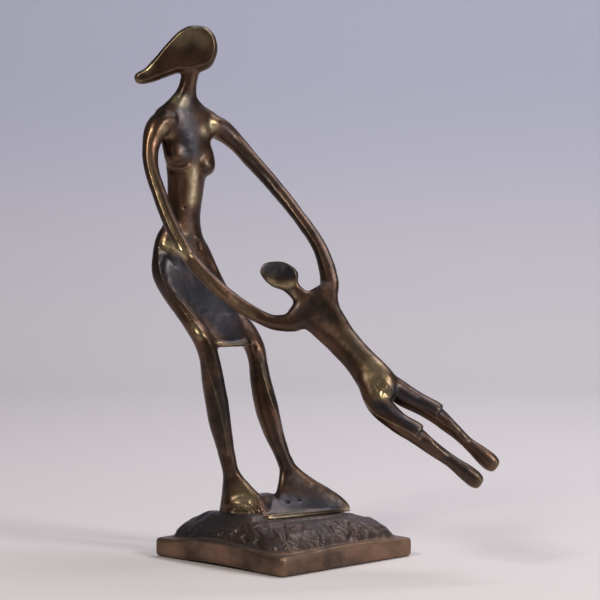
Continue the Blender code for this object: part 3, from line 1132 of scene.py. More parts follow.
@dataclass
class Child:
    """Flying child, joined to the mother's hands at its shoulders."""

    shoulders: Rows = (
        (4.0, -40.5, 127.0, 4.6, 4.4),
        (10.0, -39.0, 131.5, 7.4, 4.6),
        (18.0, -37.0, 138, 8.0, 4.8),
        (25.5, -34.0, 143, 8.0, 4.8),
        (29.5, -29.0, 148, 6.0, 4.8),
    )
    trunk: Rows = (
        (14.0, -36.5, 144, 4.0, 3.6),
        (16.0, -37.0, 140, 9.5, 4.6),
        (20.0, -38.0, 135, 12.8, 5.2),
        (26.5, -40.0, 128, 12.4, 6.0),
        (36.0, -43.5, 116.5, 10.2, 6.8),
        (46.0, -48.0, 105.5, 9.6, 7.2),
        (54.5, -52.0, 95.5, 10.8, 7.6),
        (60.5, -55.0, 88, 11.4, 7.4),
        (65.0, -56.5, 82.5, 7.5, 6.4),
        (67.5, -57.0, 79.5, 3.5, 4.0),
    )
    neck: Rows = (
        (20.0, -38.0, 133, 7.5, 4.6),
        (13.6, -36.5, 140, 5.6, 4.6),
        (8.0, -36.0, 146, 4.8, 4.6),
        (2.5, -36.0, 151.5, 5.2, 5.0),
    )
    head: Rows = (
        (9.4, -36.0, 154.0, 2.6, 3.0),
        (6.8, -36.0, 154.6, 6.0, 5.8),
        (1.5, -36.0, 155.6, 8.2, 7.6),
        (-4.5, -36.0, 157.4, 8.2, 7.2),
        (-10.5, -36.0, 159.6, 5.6, 4.6),
        (-14.2, -36.0, 161.0, 2.4, 2.0),
    )
    near_leg: Rows = (
        (51.0, -55.0, 93, 5.5, 5.5),
        (59.5, -60.0, 77.0, 7.4, 6.6),
        (71.0, -63.5, 66.0, 6.4, 6.0),
        (81.0, -65.5, 59.0, 5.6, 5.4),
        (91.0, -67.0, 51.2, 4.6, 5.0),
        (104.0, -68.5, 42.0, 3.9, 4.2),
        (112.0, -69.5, 36.0, 4.9, 4.4),
        (118.5, -70.0, 30.8, 5.4, 4.6),
        (122.6, -70.0, 28.0, 3.6, 3.0),
    )
    far_leg: Rows = (
        (60.0, -52.0, 95, 5.5, 5.5),
        (73.0, -51.5, 83.5, 7.2, 6.4),
        (86.5, -52.0, 75.6, 6.3, 5.8),
        (97.0, -53.0, 68.4, 5.4, 5.2),
        (107.0, -55.0, 59.8, 4.2, 4.6),
        (115.0, -56.0, 52.4, 3.6, 4.0),
        (122.5, -57.0, 46.0, 5.0, 4.4),
        (129.5, -58.0, 40, 5.4, 4.6),
        (133.5, -58.0, 37, 3.6, 3.0),
    )
    hems: Rows = ((82.6, -65.8, 58.2), (95.5, -52.8, 69.4))
    hem_step: float = 1.9
    hem_flare: float = 15.0
    hem_reach: float = 9.5
    hem_start: float = -0.5
    hem_end: tuple[float, float] = (0.2, 1.3)
    upper_range: tuple[float, float] = (0.15, 0.75)
    head_side: Triple = (0.2, 0.0, 1.0)
    legs_along: Triple = (0.80, -0.10, -0.59)
    legs_upward: Triple = (0.55, -0.35, 0.76)

    def draw(self, target: bmesh.types.BMesh, body: Body) -> None:
        """Adds the child's bodies.

        Args:
            target: mesh that takes them.
            body: maker of the bodies.
        """
        for stations, side in (
            (self.trunk, ACROSS_CHILD),
            (self.shoulders, ALONG_CHILD),
            (self.neck, ACROSS_CHILD),
            (self.head, Vector(self.head_side)),
            (self.near_leg, ACROSS_CHILD),
            (self.far_leg, ACROSS_CHILD),
        ):
            body.limb(target, stations, side)

    def dress(self, clay: Clay) -> None:
        """Flares the upper sides of the shorts' legs and steps them in at their hems.

        Args:
            clay: the figures.
        """
        along = np.array(self.legs_along)
        upper = ramp(clay.normals @ np.array(self.legs_upward), *self.upper_range)
        for hem in self.hems:
            offset = clay.points - np.array(hem)
            run = offset @ along
            aside = np.linalg.norm(offset - np.outer(run, along), axis=1)
            flare = ramp(run, -self.hem_flare, self.hem_start) * (1.0 - ramp(run, *self.hem_end))
            flare *= aside < self.hem_reach
            clay.points += clay.normals * (flare * upper * self.hem_step)[:, None]


@dataclass
class Feet:
    """Finned feet on the thin plate that joins them. Corners are of the sole, then of the ankle: x, y."""

    near: tuple[Rows, Rows] = (
        ((-35.0, -9.5), (-29.5, -16.5), (-12.5, -15.0)),
        ((-35.4, -11.0), (-34.8, -12.6), (-34.0, -12.0)),
    )
    far: tuple[Rows, Rows] = (
        ((-3.0, 16.0), (-10.0, -25.0), (43.0, 12.5)),
        ((1.2, 9.6), (1.2, 7.6), (2.4, 8.5)),
    )
    top: float = 36.0
    fin_steps: int = 24
    fin_radius: float = 3.8
    near_blunt: float = 7.8
    far_blunt: float = 1.6
    corner_steps: int = 8
    plate: Rows = ((-40.0, -7.0), (-34.0, -23.0), (-10.0, -24.0), (40.0, 12.0), (-6.0, 15.0))
    plate_thickness: float = 2.6
    plate_corner: float = 2.0
    sunk: float = 2.0
    balls: tuple[Ball, ...] = (
        Ball((-25.5, -13.5, 7.0), (12.5, 9.6, 9.0), (1.0, 0.2, 0.0)),
        Ball((-13.0, -5.0, 0.0), (22.0, 12.0, 14.5), (0.5, 0.87, 0.0)),
    )

    def rounded(self, corners: Rows, radius: float, level: float) -> list[Vector]:
        """Draws a level ring round the corners of a convex shape.

        Args:
            corners: x and y of each corner.
            radius: distance of the ring from the corners.
            level: height of the ring.

        Returns:
            The ring's points.
        """
        ring = []
        for index, corner in enumerate(corners):
            before = Vector(corner) - Vector(corners[index - 1])
            after = Vector(corners[(index + 1) % len(corners)]) - Vector(corner)
            start = math.atan2(before.y, before.x) - math.pi / 2
            end = math.atan2(after.y, after.x) - math.pi / 2
            while end < start:
                end += math.tau
            for step in range(self.corner_steps + 1):
                angle = start + (end - start) * step / self.corner_steps
                x, y = corner[0] + radius * math.cos(angle), corner[1] + radius * math.sin(angle)
                ring.append(Vector((x, y, level)))
        return ring

    def fin(self, target: bmesh.types.BMesh, sole: Rows, ankle: Rows, blunt: float) -> None:
        """Adds the fin of a foot, hollowed on its open side.

        Args:
            target: mesh that takes it.
            sole: corners of the sole.
            ankle: corners of the ankle.
            blunt: radius of the sole's corners.
        """
        rings = []
        for step in range(self.fin_steps + 1):
            t = step / self.fin_steps
            shares = (1 - (1 - t) ** 2, 1 - (1 - t) ** 2.4, t**2 * (3 - 2 * t))
            corners = []
            for share, low, high in zip(shares, sole, ankle):
                corners.append(tuple(a + (b - a) * share for a, b in zip(low, high)))
            radius = self.fin_radius + (blunt - self.fin_radius) * (1 - t) ** 2.2
            rings.append(self.rounded(tuple(corners), radius, self.top * t))
        skin(target, [[point - Vector((0, 0, self.sunk)) for point in rings[0]]] + rings)

    def draw(self, target: bmesh.types.BMesh, body: Body) -> None:
        """Adds both feet, the plate and the web between them.

        Args:
            target: mesh that takes them.
            body: maker of the rounded web.
        """
        self.fin(target, *self.near, self.near_blunt)
        self.fin(target, *self.far, self.far_blunt)
        levels = (-self.sunk, 0.0, self.plate_thickness)
        skin(target, [self.rounded(self.plate, self.plate_corner, level) for level in levels])
        for ball in self.balls:
            body.ball(target, ball)


@dataclass(frozen=True)
class Seam:
    """Ridge along an arm: where it faces, the arm's sections that it spans and how it is moved."""

    facing: Triple
    first: int
    last: int
    sink: Triple


@dataclass
class Beads:
    """Rounded ridges of wax laid along edges: paths with a radius at each point."""

    thin_end: float = 0.25
    paths: list[tuple[np.ndarray, np.ndarray]] = field(default_factory=list)

    def lay(self, points: np.ndarray, radius: float, sink: Triple) -> None:
        """Lays one bead that is thin at both ends.

        Args:
            points: rows of x, y, z.
            radius: radius at the middle.
            sink: how far each point is moved before the bead is laid.
        """
        t = np.linspace(0.0, 1.0, len(points))
        bulge = self.thin_end + (1.0 - self.thin_end) * np.sin(math.pi * t) ** 0.5
        self.paths.append((points + np.array(sink), radius * bulge))

    def build(self, metal: bpy.types.Material) -> bpy.types.Object:
        """Makes one object of all the beads.

        Args:
            metal: its material.

        Returns:
            The object.
        """
        mesh = bpy.data.meshes.new("beads")
        points, edges = [], []
        for rows, _ in self.paths:
            edges += [(len(points) + n, len(points) + n + 1) for n in range(len(rows) - 1)]
            points += rows.tolist()
        mesh.from_pydata(points, edges, [])
        wide = mesh.attributes.new("bead", "FLOAT", "POINT")
        wide.data.foreach_set("value", np.concatenate([radii for _, radii in self.paths]).astype(np.float32))
        made = bpy.data.objects.new("beads", mesh)
        bpy.context.scene.collection.objects.link(made)
        bead_tree().bake(made, {"Ring points": 12, "Spacing": 0.5, "Thickness": 1.0, "Material": metal})
        return made


def join_into(thing: bpy.types.Object, other: bpy.types.Object) -> None:
    """Moves another object's mesh into an object and deletes the other.

    Args:
        thing: the object that grows.
        other: the object that goes.
    """
    drawn = bmesh.new()
    drawn.from_mesh(thing.data)
    drawn.from_mesh(other.data)
    bmesh.ops.recalc_face_normals(drawn, faces=drawn.faces)
    drawn.to_mesh(thing.data)
    drawn.free()
    bpy.data.objects.remove(other)


def inside(places: np.ndarray, outline: Path) -> np.ndarray:
    """Tells which places lie inside an outline.

    Args:
        places: rows of pixels from the left and from the top.
        outline: the outline's corners.

    Returns:
        True or False for each place.
    """
    x, y = places[:, 0], places[:, 1]
    found = np.zeros(len(places), bool)
    for (ax, ay), (bx, by) in zip(outline, outline[1:] + outline[:1]):
        if ay != by:
            crosses = (ay > y) != (by > y)
            found ^= crosses & (x < (bx - ax) * (y - ay) / (by - ay) + ax)
    return found


@dataclass
class Figures:
    """Mother and child as one bronze casting on the plate of her feet."""

    finish: BronzeFinish
    sight: Sight
    mother: Mother = field(default_factory=Mother)
    child: Child = field(default_factory=Child)
    feet: Feet = field(default_factory=Feet)
    body: Body = field(default_factory=Body)
    cell: float = 0.62
    softening: int = 46
    near_seam: Seam = Seam((-0.30, -0.94, -0.15), 10, -10, (0.1, 0.35, 0.05))
    far_seam: Seam = Seam((-0.20, -0.97, -0.12), 28, -12, (0.05, 0.35, 0.0))
    border_sink: Triple = (0.0, 0.25, 0.0)
    hem_sink: Triple = (0.0, 0.5, 0.5)
    lip_sink: Triple = (0.0, -0.4, 0.0)
    seam_width: float = 0.75
    hem_width: float = 1.1
    lip_width: float = 0.8
    plate_lip: Rows = ((-12.0, -25.0, 2.0), (14.0, -8.5, 2.1), (41.0, 9.4, 2.2))
    lip_steps: int = 30
    skirt_border: Path = (
        (164, 230),
        (160, 240),
        (158.5, 252),
        (159.5, 266),
        (165, 284),
        (176, 301),
        (192, 321),
        (206, 335),
        (214, 341),
    )
    hem: Path = ((214, 342), (222, 344), (231, 345), (240, 343.5), (248, 340))
    far_border: Path = ((262, 338), (262, 300), (240, 262), (206, 254), (184, 255), (171, 251))
    skirt_depth: float = 1.7
    border_width: float = 7.5
    ledge_width: float = 6.0
    arm_front: float = -27.0
    panel_facing: tuple[float, float] = (0.25, 0.70)
    panel_far: tuple[float, float] = (204.0, 240.0)
    relief_foot: tuple[float, float] = (0.2, 3.0)
    melting: int = 50
    film: Relief = Relief(0.9, 0.10, 4.0)
    coarse: Relief = Relief(1.6, 0.55, 6.0)
    strokes: tuple[Stroke, ...] = (
        Stroke(((177, 77), (174, 86), (171, 95)), 1.0, 0.7),
        Stroke(((182, 80), (179, 90), (177, 98)), 1.3, -0.5),
        Stroke(((165, 140), (166.5, 146), (168, 152)), 1.4, -0.9),
        Stroke(((180, 101),), 3.5, 0.5),
        Stroke(((206, 131),), 3.6, 0.5),
        Stroke(((217, 124),), 3.0, 0.4),
        Stroke(((169, 165.5), (175, 167.5), (182, 168), (189, 166)), 1.0, 0.45),
        Stroke(((170, 170), (179, 172), (189, 170.5)), 1.6, -0.5),
        Stroke(((184, 207),), 1.3, -0.6),
        Stroke(((184, 176), (182, 190), (182, 201)), 2.0, -0.35),
        Stroke(((199, 242), (200.5, 248)), 1.4, -0.7),
        Stroke(((196, 237), (199, 240)), 1.3, 0.5),
        Stroke(((164, 245), (172, 248), (181, 251), (188, 255)), 2.4, 1.0),
        Stroke(((175, 296), (190.5, 312), (209, 333), (215, 339)), 1.0, 0.4),
        Stroke(((203, 352), (209, 372), (216, 395), (222, 420), (226, 440), (228, 455)), 1.0, 0.45),
        Stroke(((257, 350), (262, 372), (268, 392), (277, 415), (285, 440)), 1.0, 0.4),
        Stroke(((200, 335),), 3.0, 0.7),
        Stroke(((225, 505), (234, 503), (243, 506), (249, 510)), 1.5, 0.35),
        Stroke(((229, 509), (238, 507), (246, 512)), 1.0, -0.5),
        Stroke(((256, 505), (261, 508), (263, 515), (258, 521)), 1.2, 0.4),
        Stroke(((253, 509), (257, 514)), 1.0, -0.5),
        Stroke(((275, 503), (274, 509), (272, 515)), 1.2, 0.25),
        Stroke(((364, 399), (375, 413), (389, 421), (405, 429), (420, 439)), 0.9, 0.7),
        Stroke(((436, 443), (441, 447), (446, 450)), 1.2, -0.5),
        Stroke(((452, 424), (458, 430)), 2.6, 0.9),
        Stroke(((470, 441),), 2.6, -0.8),
        Stroke(((432, 442), (437, 447)), 2.6, 0.8),
        Stroke(((449, 456),), 2.6, -0.6),
        Stroke(((287.6, 502.7),), 1.0, -1.0),
        Stroke(((299, 500.5),), 0.9, -0.9),
        Stroke(((187, 130), (186, 160), (184, 200), (184, 225)), 2.2, -0.7, Side.BACK),
        Stroke(((196, 250), (204, 275), (214, 300), (222, 322)), 2.6, -1.0, Side.BACK),
    )
    facets: tuple[Facet, ...] = (
        Facet((-71.0, 6.5, 299.0), (0.05, -1.0, 0.02), 5.05, 36.0, 0.6, 0.04, fade=0.9, lowest=275.0),
        Facet((-2.0, -36.0, 156.5), (-0.10, -0.95, 0.27), 3.3, 40.0),
        Facet((18.0, -37.6, 139.0), (-0.05, -0.95, 0.24), 4.2, 28.0, fade=0.2),
    )
    # Painted highlights, partly bare bronze: gold laid in the colour where light catches the skirt's ledge,
    # shoulders, belly, knee, near foot, heads, near arm, child's trunk, hem and plate lip.
    rubs_and_highlights: tuple[Stroke, ...] = (
        Stroke(((166, 244), (175, 250), (183, 254)), 4.0, 1.0),
        Stroke(((177, 100), (184, 102)), 4.0, 1.0),
        Stroke(((165, 131), (168, 136)), 4.0, 0.5),
        Stroke(((192, 172), (195, 185), (193, 200)), 4.5, 0.8),
        Stroke(((206, 131), (214, 126)), 4.5, 0.7),
        Stroke(((195, 327), (201, 336)), 3.0, 0.9),
        Stroke(((243, 490), (246, 503)), 7.0, 0.65),
        Stroke(((180, 41), (192, 34), (204, 41)), 6.0, 0.55),
        Stroke(((269, 282), (279, 286), (291, 284)), 2.4, 1.0),
        Stroke(((293, 291), (296, 297)), 1.6, 0.8),
        Stroke(
            ((152, 130), (150, 160), (158, 195), (175, 232), (200, 270), (228, 298), (255, 316)), 1.8, 0.4
        ),
        Stroke(((150, 66), (146, 70)), 3.0, 0.7),
        Stroke(((344, 332), (360, 350), (374, 368)), 6.0, 0.25),
        Stroke(((373, 366), (378, 378), (381, 391)), 6.0, 0.85),
        Stroke(((215, 342), (222, 344), (231, 345), (240, 343.5), (247, 341)), 1.0, 1.0),
        Stroke(((268, 519), (300, 516), (330, 512), (352, 509)), 1.3, 0.8),
    )
    # Painted reflection and shade: blue-grey laid in the colour where bluish light is reflected on the
    # mother's chest, skirt panel, far arm, far leg and far foot and the child's chest and legs, and painted
    # darker on the child's head and shorts' hems; less gold shows there.
    cool: tuple[Stroke, ...] = (
        Stroke(((184, 105), (188, 125), (190, 150)), 8.0, 1.0),
        Stroke(((168, 262), (176, 280), (196, 298), (216, 318), (232, 335)), 11.0, 1.0),
        Stroke(((185, 268), (205, 292), (228, 312)), 11.0, 1.0),
        Stroke(((285, 285), (292, 300), (305, 318)), 8.0, 0.5),
        Stroke(((268, 266), (278, 268), (288, 272)), 6.5, 1.0),
        Stroke(((306, 308), (318, 322)), 9.0, 0.45),
        Stroke(((225, 126), (250, 158), (275, 193), (300, 228), (318, 262)), 4.0, 0.6),
        Stroke(((424, 438), (445, 453), (470, 476)), 5.0, 0.5),
        Stroke(((450, 420), (470, 440), (488, 460)), 5.0, 0.5),
        # Painted shade along the near foot's lower edge.
        Stroke(((215, 511), (226, 517), (238, 519), (249, 518)), 3.6, 1.0),
        Stroke(((396, 390), (415, 398), (434, 408), (443, 412)), 5.0, 0.9),
        Stroke(((376, 404), (395, 414), (412, 426), (420, 432)), 3.5, 0.9),
        Stroke(((272, 508), (280, 502), (310, 502), (335, 508)), 8.0, 0.85),
        Stroke(((275, 430), (284, 455), (290, 475)), 5.0, 0.5),
        Stroke(((290, 478), (302, 488), (322, 498)), 7.0, 0.6),
    )
    melts: tuple[Stroke, ...] = (
        Stroke(((290, 290), (302, 306), (314, 322), (328, 338)), 9.0, 1.0),
        Stroke(((362, 374), (366, 392), (372, 404)), 4.0, 1.0),
        Stroke(((157, 118), (164, 126)), 4.5, 0.8),
        Stroke(((208, 118), (218, 128)), 4.5, 0.8),
        Stroke(((177, 140), (181, 150), (186, 154)), 6.0, 0.7),
        Stroke(((176, 67), (190, 69), (201, 66), (209, 52), (208, 36), (198, 28)), 2.0, 0.7),
        Stroke(((318, 320), (328, 332), (342, 350), (358, 370)), 8.0, 0.9),
        Stroke(((229, 480), (229, 510)), 4.0, 0.8),
    )
    rough: tuple[Stroke, ...] = (
        Stroke(((380, 384), (382, 390)), 4.5, 1.0),
        Stroke(((172, 247), (178, 250)), 3.0, 0.7),
        Stroke(((248, 506), (262, 512)), 4.5, 0.9),
    )

    def mould(self) -> bpy.types.Object:
        """Makes the figures' smooth bodies into one.

        Returns:
            The object, in drawing units.
        """
        drawn = bmesh.new()
        self.mother.draw(drawn, self.body)
        self.child.draw(drawn, self.body)
        self.feet.draw(drawn, self.body)
        bmesh.ops.recalc_face_normals(drawn, faces=drawn.faces)
        made = place("bronze_figures", drawn)
        merge(made, self.cell, self.softening)
        return made

    def arm_line(self, stations: Rows, side: Triple, seam: Seam) -> np.ndarray:
        """Finds the line along an arm where its seam lies.

        Args:
            stations: the arm's stations.
            side: its side direction.
            seam: the seam.

        Returns:
            Points on the arm's surface.
        """
        found = []
        facing = Vector(seam.facing)
        for centre, across, through, wide, deep in self.body.sections(stations, Vector(side)):
            a, b = facing.dot(across), facing.dot(through)
            reach = 1.0 / math.hypot(a / wide, b / deep)
            found.append(tuple(centre + (across * a + through * b) * reach))
        return np.array(found[seam.first : seam.last])

    def lay_beads(self, clay: Clay) -> bpy.types.Object:
        """Lays the ridges along the arms, the skirt's border and hem and the plate's lip.

        Args:
            clay: the figures, before they are carved.

        Returns:
            The beads, as one object.
        """
        mother, beads = self.mother, Beads()
        for stations, side, seam in (
            (mother.near_arm, mother.near_arm_side, self.near_seam),
            (mother.far_arm, mother.far_arm_side, self.far_seam),
        ):
            beads.lay(self.arm_line(stations, side, seam), self.seam_width, seam.sink)
        beads.lay(clay.trace(self.skirt_border), self.seam_width, self.border_sink)
        beads.lay(clay.trace(self.hem), self.hem_width, self.hem_sink)
        beads.lay(spline(self.plate_lip, self.lip_steps), self.lip_width, self.lip_sink)
        return beads.build(bpy.data.materials[self.finish.name])

    def hollow_skirt(self, clay: Clay) -> None:
        """Hollows the skirt's panel inside its border and the ledge at its top.

        Args:
            clay: the figures.
        """
        places = self.sight.seen(clay.points)
        outline = self.skirt_border[1:] + self.hem + self.far_border
        chosen = inside(places, outline) & (clay.points[:, 1] > self.arm_front)
        facing = ramp(-clay.normals[:, 1], *self.panel_facing) * (1.0 - ramp(places[:, 0], *self.panel_far))
        border = clay.trace(self.skirt_border[2:] + self.hem)
        ledge = clay.trace(self.far_border[-4:] + self.skirt_border[1:2])
        closeness = np.zeros(len(clay.points))
        for line, width in ((border, self.border_width), (ledge, self.ledge_width)):
            reached, share = clay.near(line, width)
            closeness[reached] = np.maximum(closeness[reached], share)
        depth = self.skirt_depth * (1.0 - closeness) * chosen * facing
        clay.points -= clay.normals * depth[:, None]

    def carve(self, clay: Clay) -> None:
        """Hollows the skirt's panel, pares the facets and presses the strokes.

        Args:
            clay: the figures.
        """
        self.hollow_skirt(clay)
        for facet in self.facets:
            clay.pare(facet)
        melted = clay.smooth(self.melting, clay.points)
        clay.points += (melted - clay.points) * self.shares(clay, self.melts)[:, None]
        self.child.dress(clay)
        clay.write()
        clay.read()
        for stroke in self.strokes:
            clay.press(stroke)

    def shares(self, clay: Clay, strokes: tuple[Stroke, ...]) -> np.ndarray:
        """Finds how far each point is touched by strokes.

        Args:
            clay: the figures.
            strokes: the strokes.

        Returns:
            A share for each point.
        """
        found = np.zeros(len(clay.points))
        for stroke in strokes:
            reached, share = clay.near(clay.trace(stroke.path), stroke.width)
            found[reached] = np.maximum(found[reached], share * stroke.height)
        return found

    def build(self) -> bpy.types.Object:
        """Makes the finished piece.

        Returns:
            The object, in place in the part's frame.
        """
        metal = self.finish.material()
        made = self.mould()
        clay = Clay(made, self.sight)
        join_into(made, self.lay_beads(clay))
        merge(made, self.cell, 5)
        clay.read()
        self.carve(clay)
        clay.points = clay.smooth(2, clay.points)
        clay.points[:, 2] = np.maximum(clay.points[:, 2], 0.0)
        clay.write()
        grainy = self.shares(clay, self.rough)
        clay.set_values("flow", clay.points)
        for relief, asked in ((self.film, 1.0), (self.coarse, grainy)):
            clay.set_values("relief", ramp(clay.points[:, 2], *self.relief_foot) * asked)
            relief.bake(made, metal)
        clay.read()
        clay.measure_wear()
        # Painted highlights and bare bronze, as gold in the colour.
        clay.set_values("rub", self.shares(clay, self.rubs_and_highlights))
        # Blue-grey painted as a reflection of bluish light and as shade.
        clay.set_values("cool", self.shares(clay, self.cool))
        clay.finish()
        return made


@dataclass
class Base:
    """Square slab with a crumpled rocky mound, in one casting. Lengths are in metres, as in the part."""

    finish: BronzeFinish
    sight: Sight
    side: float = 0.120
    height: float = 0.0125
    corner: float = 0.0026
    edge: float = 0.0007
    mound_inset: float = 0.0042
    mound_corner: float = 0.016
    mound_height: float = 0.0150
    shoulder: float = 0.0225
    relief: float = 0.0011
    top_rise: tuple[float, ...] = (0.0046, 0.0016, 0.0026, 0.0022)
    foot_rise: tuple[float, ...] = (0.0019, 0.0003, 0.0008, 0.0006)
    ring_side: int = 56
    ring_corner: int = 8
    mound_steps: int = 32
    cell: float = 0.60
    seat_gap: float = 0.3
    crumb_density: float = 0.10
    crumb_sizes: tuple[float, float] = (0.45, 1.25)
    crumb_flatness: float = 0.6
    crumb_seed: int = 11
    crumb_levels: tuple[float, float] = (13.2, 20.0)
    crumb_reach: float = 55.5
    slab_smoothing: int = 26
    slab_top: tuple[float, float] = (13.0, 15.0)
    mound_foot: tuple[float, float] = (13.0, 15.5)
    steel_tone_least: float = 0.7
    steel_tone_across: tuple[float, float] = (-30.0, 30.0)
    brow: tuple[float, float] = (26.6, 27.4)
    brow_relief: float = 0.2
    turn_run: float = 46.0
    turn_lean: float = 0.9
    span_run: float = 0.62
    rise_run: float = 0.8
    lumps: Relief = Relief(2.8, 0.24, 2.0, detail=4.0, middle=0.54, swirl=0.6)
    creases: Relief = Relief(0.8, 0.17, 5.0, middle=0.8, pattern=Pattern.CREASED)
    film: Relief = Relief(0.35, 0.22, 9.0)
    apron: Path = ((208, 517), (224, 520), (238, 522), (256, 520))
    apron_rise: float = 4.6
    apron_width: float = 7.5
    apron_smoothing: int = 50
    strokes: tuple[Stroke, ...] = (
        Stroke(((222, 530.5), (238, 530.5), (251, 528.7), (265, 520)), 1.0, 0.7),
        Stroke(((272, 523.5), (300, 519.5), (330, 516.5), (349, 513.5)), 1.9, -2.2),
        Stroke(((219, 535), (223, 534.5)), 0.9, -1.5),
        Stroke(((232, 534), (236, 533.5)), 0.9, -1.3),
        Stroke(((243.5, 538), (247, 540)), 1.2, -1.7),
        Stroke(((256, 543),), 1.0, -1.2),
        Stroke(((329, 526), (332, 531)), 1.8, -1.4),
        Stroke(((351, 524), (353, 532), (350, 539)), 1.5, -1.6),
        Stroke(((275, 530), (281, 538), (288, 548)), 1.2, 0.9),
        Stroke(((283, 525), (285, 534), (284, 545)), 1.3, -1.0),
        Stroke(((305, 524), (313, 530), (318, 538)), 1.4, 0.9),
        Stroke(((338, 522), (346, 528), (358, 532)), 1.4, 0.9),
        Stroke(((366, 524), (374, 530), (384, 535)), 1.4, 0.8),
    )

    def ring(self, half: float, corner: float) -> list[tuple[float, float, int, float]]:
        """Draws a rounded square, from its west side round.

        Args:
            half: half its width.
            corner: radius of its corners.

        Returns:
            x, y, number of the side and share along the side, for each point.
        """
        found = []
        straight = half - corner
        for side in range(4):
            turn = Matrix.Rotation(math.radians(90.0 * side), 2)
            steps = range(self.ring_side)
            rows = [(-half, straight - 2 * straight * step / self.ring_side) for step in steps]
            for step in range(self.ring_corner):
                angle = math.pi + math.pi / 2 * step / self.ring_corner
                rows.append((-straight + corner * math.cos(angle), -straight + corner * math.sin(angle)))
            for x, y in rows:
                point = turn @ Vector((x, y))
                found.append((point.x, point.y, side, min(max((half - y) / (2 * half), 0.0), 1.0)))
        return found

    def lump(self, x: float, y: float) -> float:
        """Works out the unevenness of the mound at a place.

        Args:
            x: the place, in metres.
            y: the place, in metres.

        Returns:
            A height between -1 and 1.
        """
        rough = noise.noise(Vector((x * 62.0 + 3.1, y * 62.0 - 1.7, 0.4)))
        fine = noise.noise(Vector((x * 135.0 - 2.2, y * 135.0 + 5.3, 1.9)))
        return max(-1.0, min(1.0, 1.5 * rough + 0.8 * fine - 0.3))

    def levels(self) -> tuple[list[tuple[float, ...]], int]:
        """Lists the rings: half-width, corner, level, share of the sides' rise and share of the relief.

        Returns:
            The rings and how many of them belong to the underside.
        """
        half, top, edge = self.side / 2, self.height, self.edge
        rows = [
            (0.3 * half, 0.1 * half, 0.0, 0.0, 0.0),
            (0.85 * half, 2 * self.corner, 0.0, 0.0, 0.0),
            (half - 3 * edge, self.corner, 0.0, 0.8, 0.0),
            (half - 0.4 * edge, self.corner, 0.6 * edge, 1.0, 0.0),
            (half, self.corner, 2.4 * edge, 1.0, 0.0),
        ]
        under = len(rows)
        rows += [
            (half, self.corner, top - 2.4 * edge, 1.0, 0.0),
            (half - 0.5 * edge, self.corner, top - 0.7 * edge, 1.0, 0.0),
            (half - 1.8 * edge, self.corner, top, 1.0, 0.0),
            (half - 0.8 * self.mound_inset, 0.5 * self.mound_corner, top - 0.1 * edge, 1.0, 0.0),
            (half - self.mound_inset, 0.8 * self.mound_corner, top - 0.3 * edge, 0.95, 0.0),
        ]
        start = half - self.mound_inset
        for step in range(1, self.mound_steps + 1):
            t = step / self.mound_steps
            inset = self.shoulder * (1 - math.cos(t * math.pi / 2))
            rise = self.mound_height * math.sin(t * math.pi / 2) ** 1.08
            relief = math.sin(math.pi * min(1.0, t * 1.15)) ** 0.6 if t < 0.87 else 0.0
            corner = self.mound_corner + 0.35 * inset
            rows.append((start - inset, corner, top + rise, 0.9 * (1 - t) ** 1.3, relief))
        inner = start - self.shoulder
        for share in (0.8, 0.5, 0.2):
            rows.append((inner * share, 0.5 * inner * share, top + self.mound_height, 0.0, 0.0))
        return rows, under

    def mould(self) -> bpy.types.Object:
        """Makes the slab and mound.

        Returns:
            The object, in drawing units.
        """
        rows, under = self.levels()
        seat = self.height + self.mound_height
        rings = []
        for number, (size, corner, level, bow, relief) in enumerate(rows):
            rises = self.foot_rise if number < under else self.top_rise
            ring = []
            for x, y, side, share in self.ring(size, corner):
                arch = rises[side] * bow * math.sin(math.pi * share) ** 2
                ring.append(Vector((x, y, min(level + arch + self.relief * relief * self.lump(x, y), seat))))
            rings.append(ring)
        drawn = bmesh.new()
        skin(drawn, rings)
        bmesh.ops.recalc_face_normals(drawn, faces=drawn.faces)
        drawn.transform(DRAWN_TO_PART.inverted())
        return place("rocky_base", drawn)

    def own_frame(self, points: np.ndarray) -> np.ndarray:
        """Returns drawn points in the part's frame, in millimetres."""
        turn = np.array(DRAWN_TO_PART.to_3x3()) / UNIT
        return points @ turn.T + np.array((0.0, 0.0, SOLE_LEVEL / UNIT))

    def scatter_crumbs(self, clay: Clay, metal: bpy.types.Material) -> None:
        """Scatters crumbs of rock along the mound's foot.

        Args:
            clay: the base.
            metal: its material.
        """
        own = self.own_frame(clay.points)
        low, high = self.crumb_levels
        foot = (own[:, 2] > low) & (own[:, 2] < high) & (np.abs(own[:, :2]).max(1) < self.crumb_reach)
        patchy = np.array([noise.noise(Vector((x * 0.06, y * 0.06, 7.0))) for x, y, _ in own])
        clay.set_values("crust", foot * ramp(patchy, -0.1, 0.3))
        smallest, largest = self.crumb_sizes
        sizes = {"Density": self.crumb_density, "Smallest": smallest, "Largest": largest}
        rest = {"Flatness": self.crumb_flatness, "Seed": self.crumb_seed, "Material": metal}
        crust_tree().bake(clay.thing, sizes | rest)

    def spread(self, clay: Clay) -> None:
        """Stores how the mound's creases run and where they show.

        Args:
            clay: the base.
        """
        own = self.own_frame(clay.points)
        reach = np.abs(own[:, :2]).max(1)
        foot = self.side / UNIT / 2 - self.mound_inset / UNIT
        slope = ramp(own[:, 2], self.height / UNIT + 0.6, self.height / UNIT + 3.5)
        slope *= 1.0 - (1.0 - self.brow_relief) * ramp(own[:, 2], *self.brow)
        slope *= 1.0 - ramp(reach, foot - 0.5, foot + 0.8)
        clay.set_values("relief", slope)
        angle = np.arctan2(own[:, 1], own[:, 0])
        span = np.hypot(own[:, 0], own[:, 1])
        turned = angle * self.turn_run + own[:, 2] * self.turn_lean
        flow = np.stack([turned, span * self.span_run, own[:, 2] * self.rise_run], axis=1)
        clay.set_values("flow", flow)

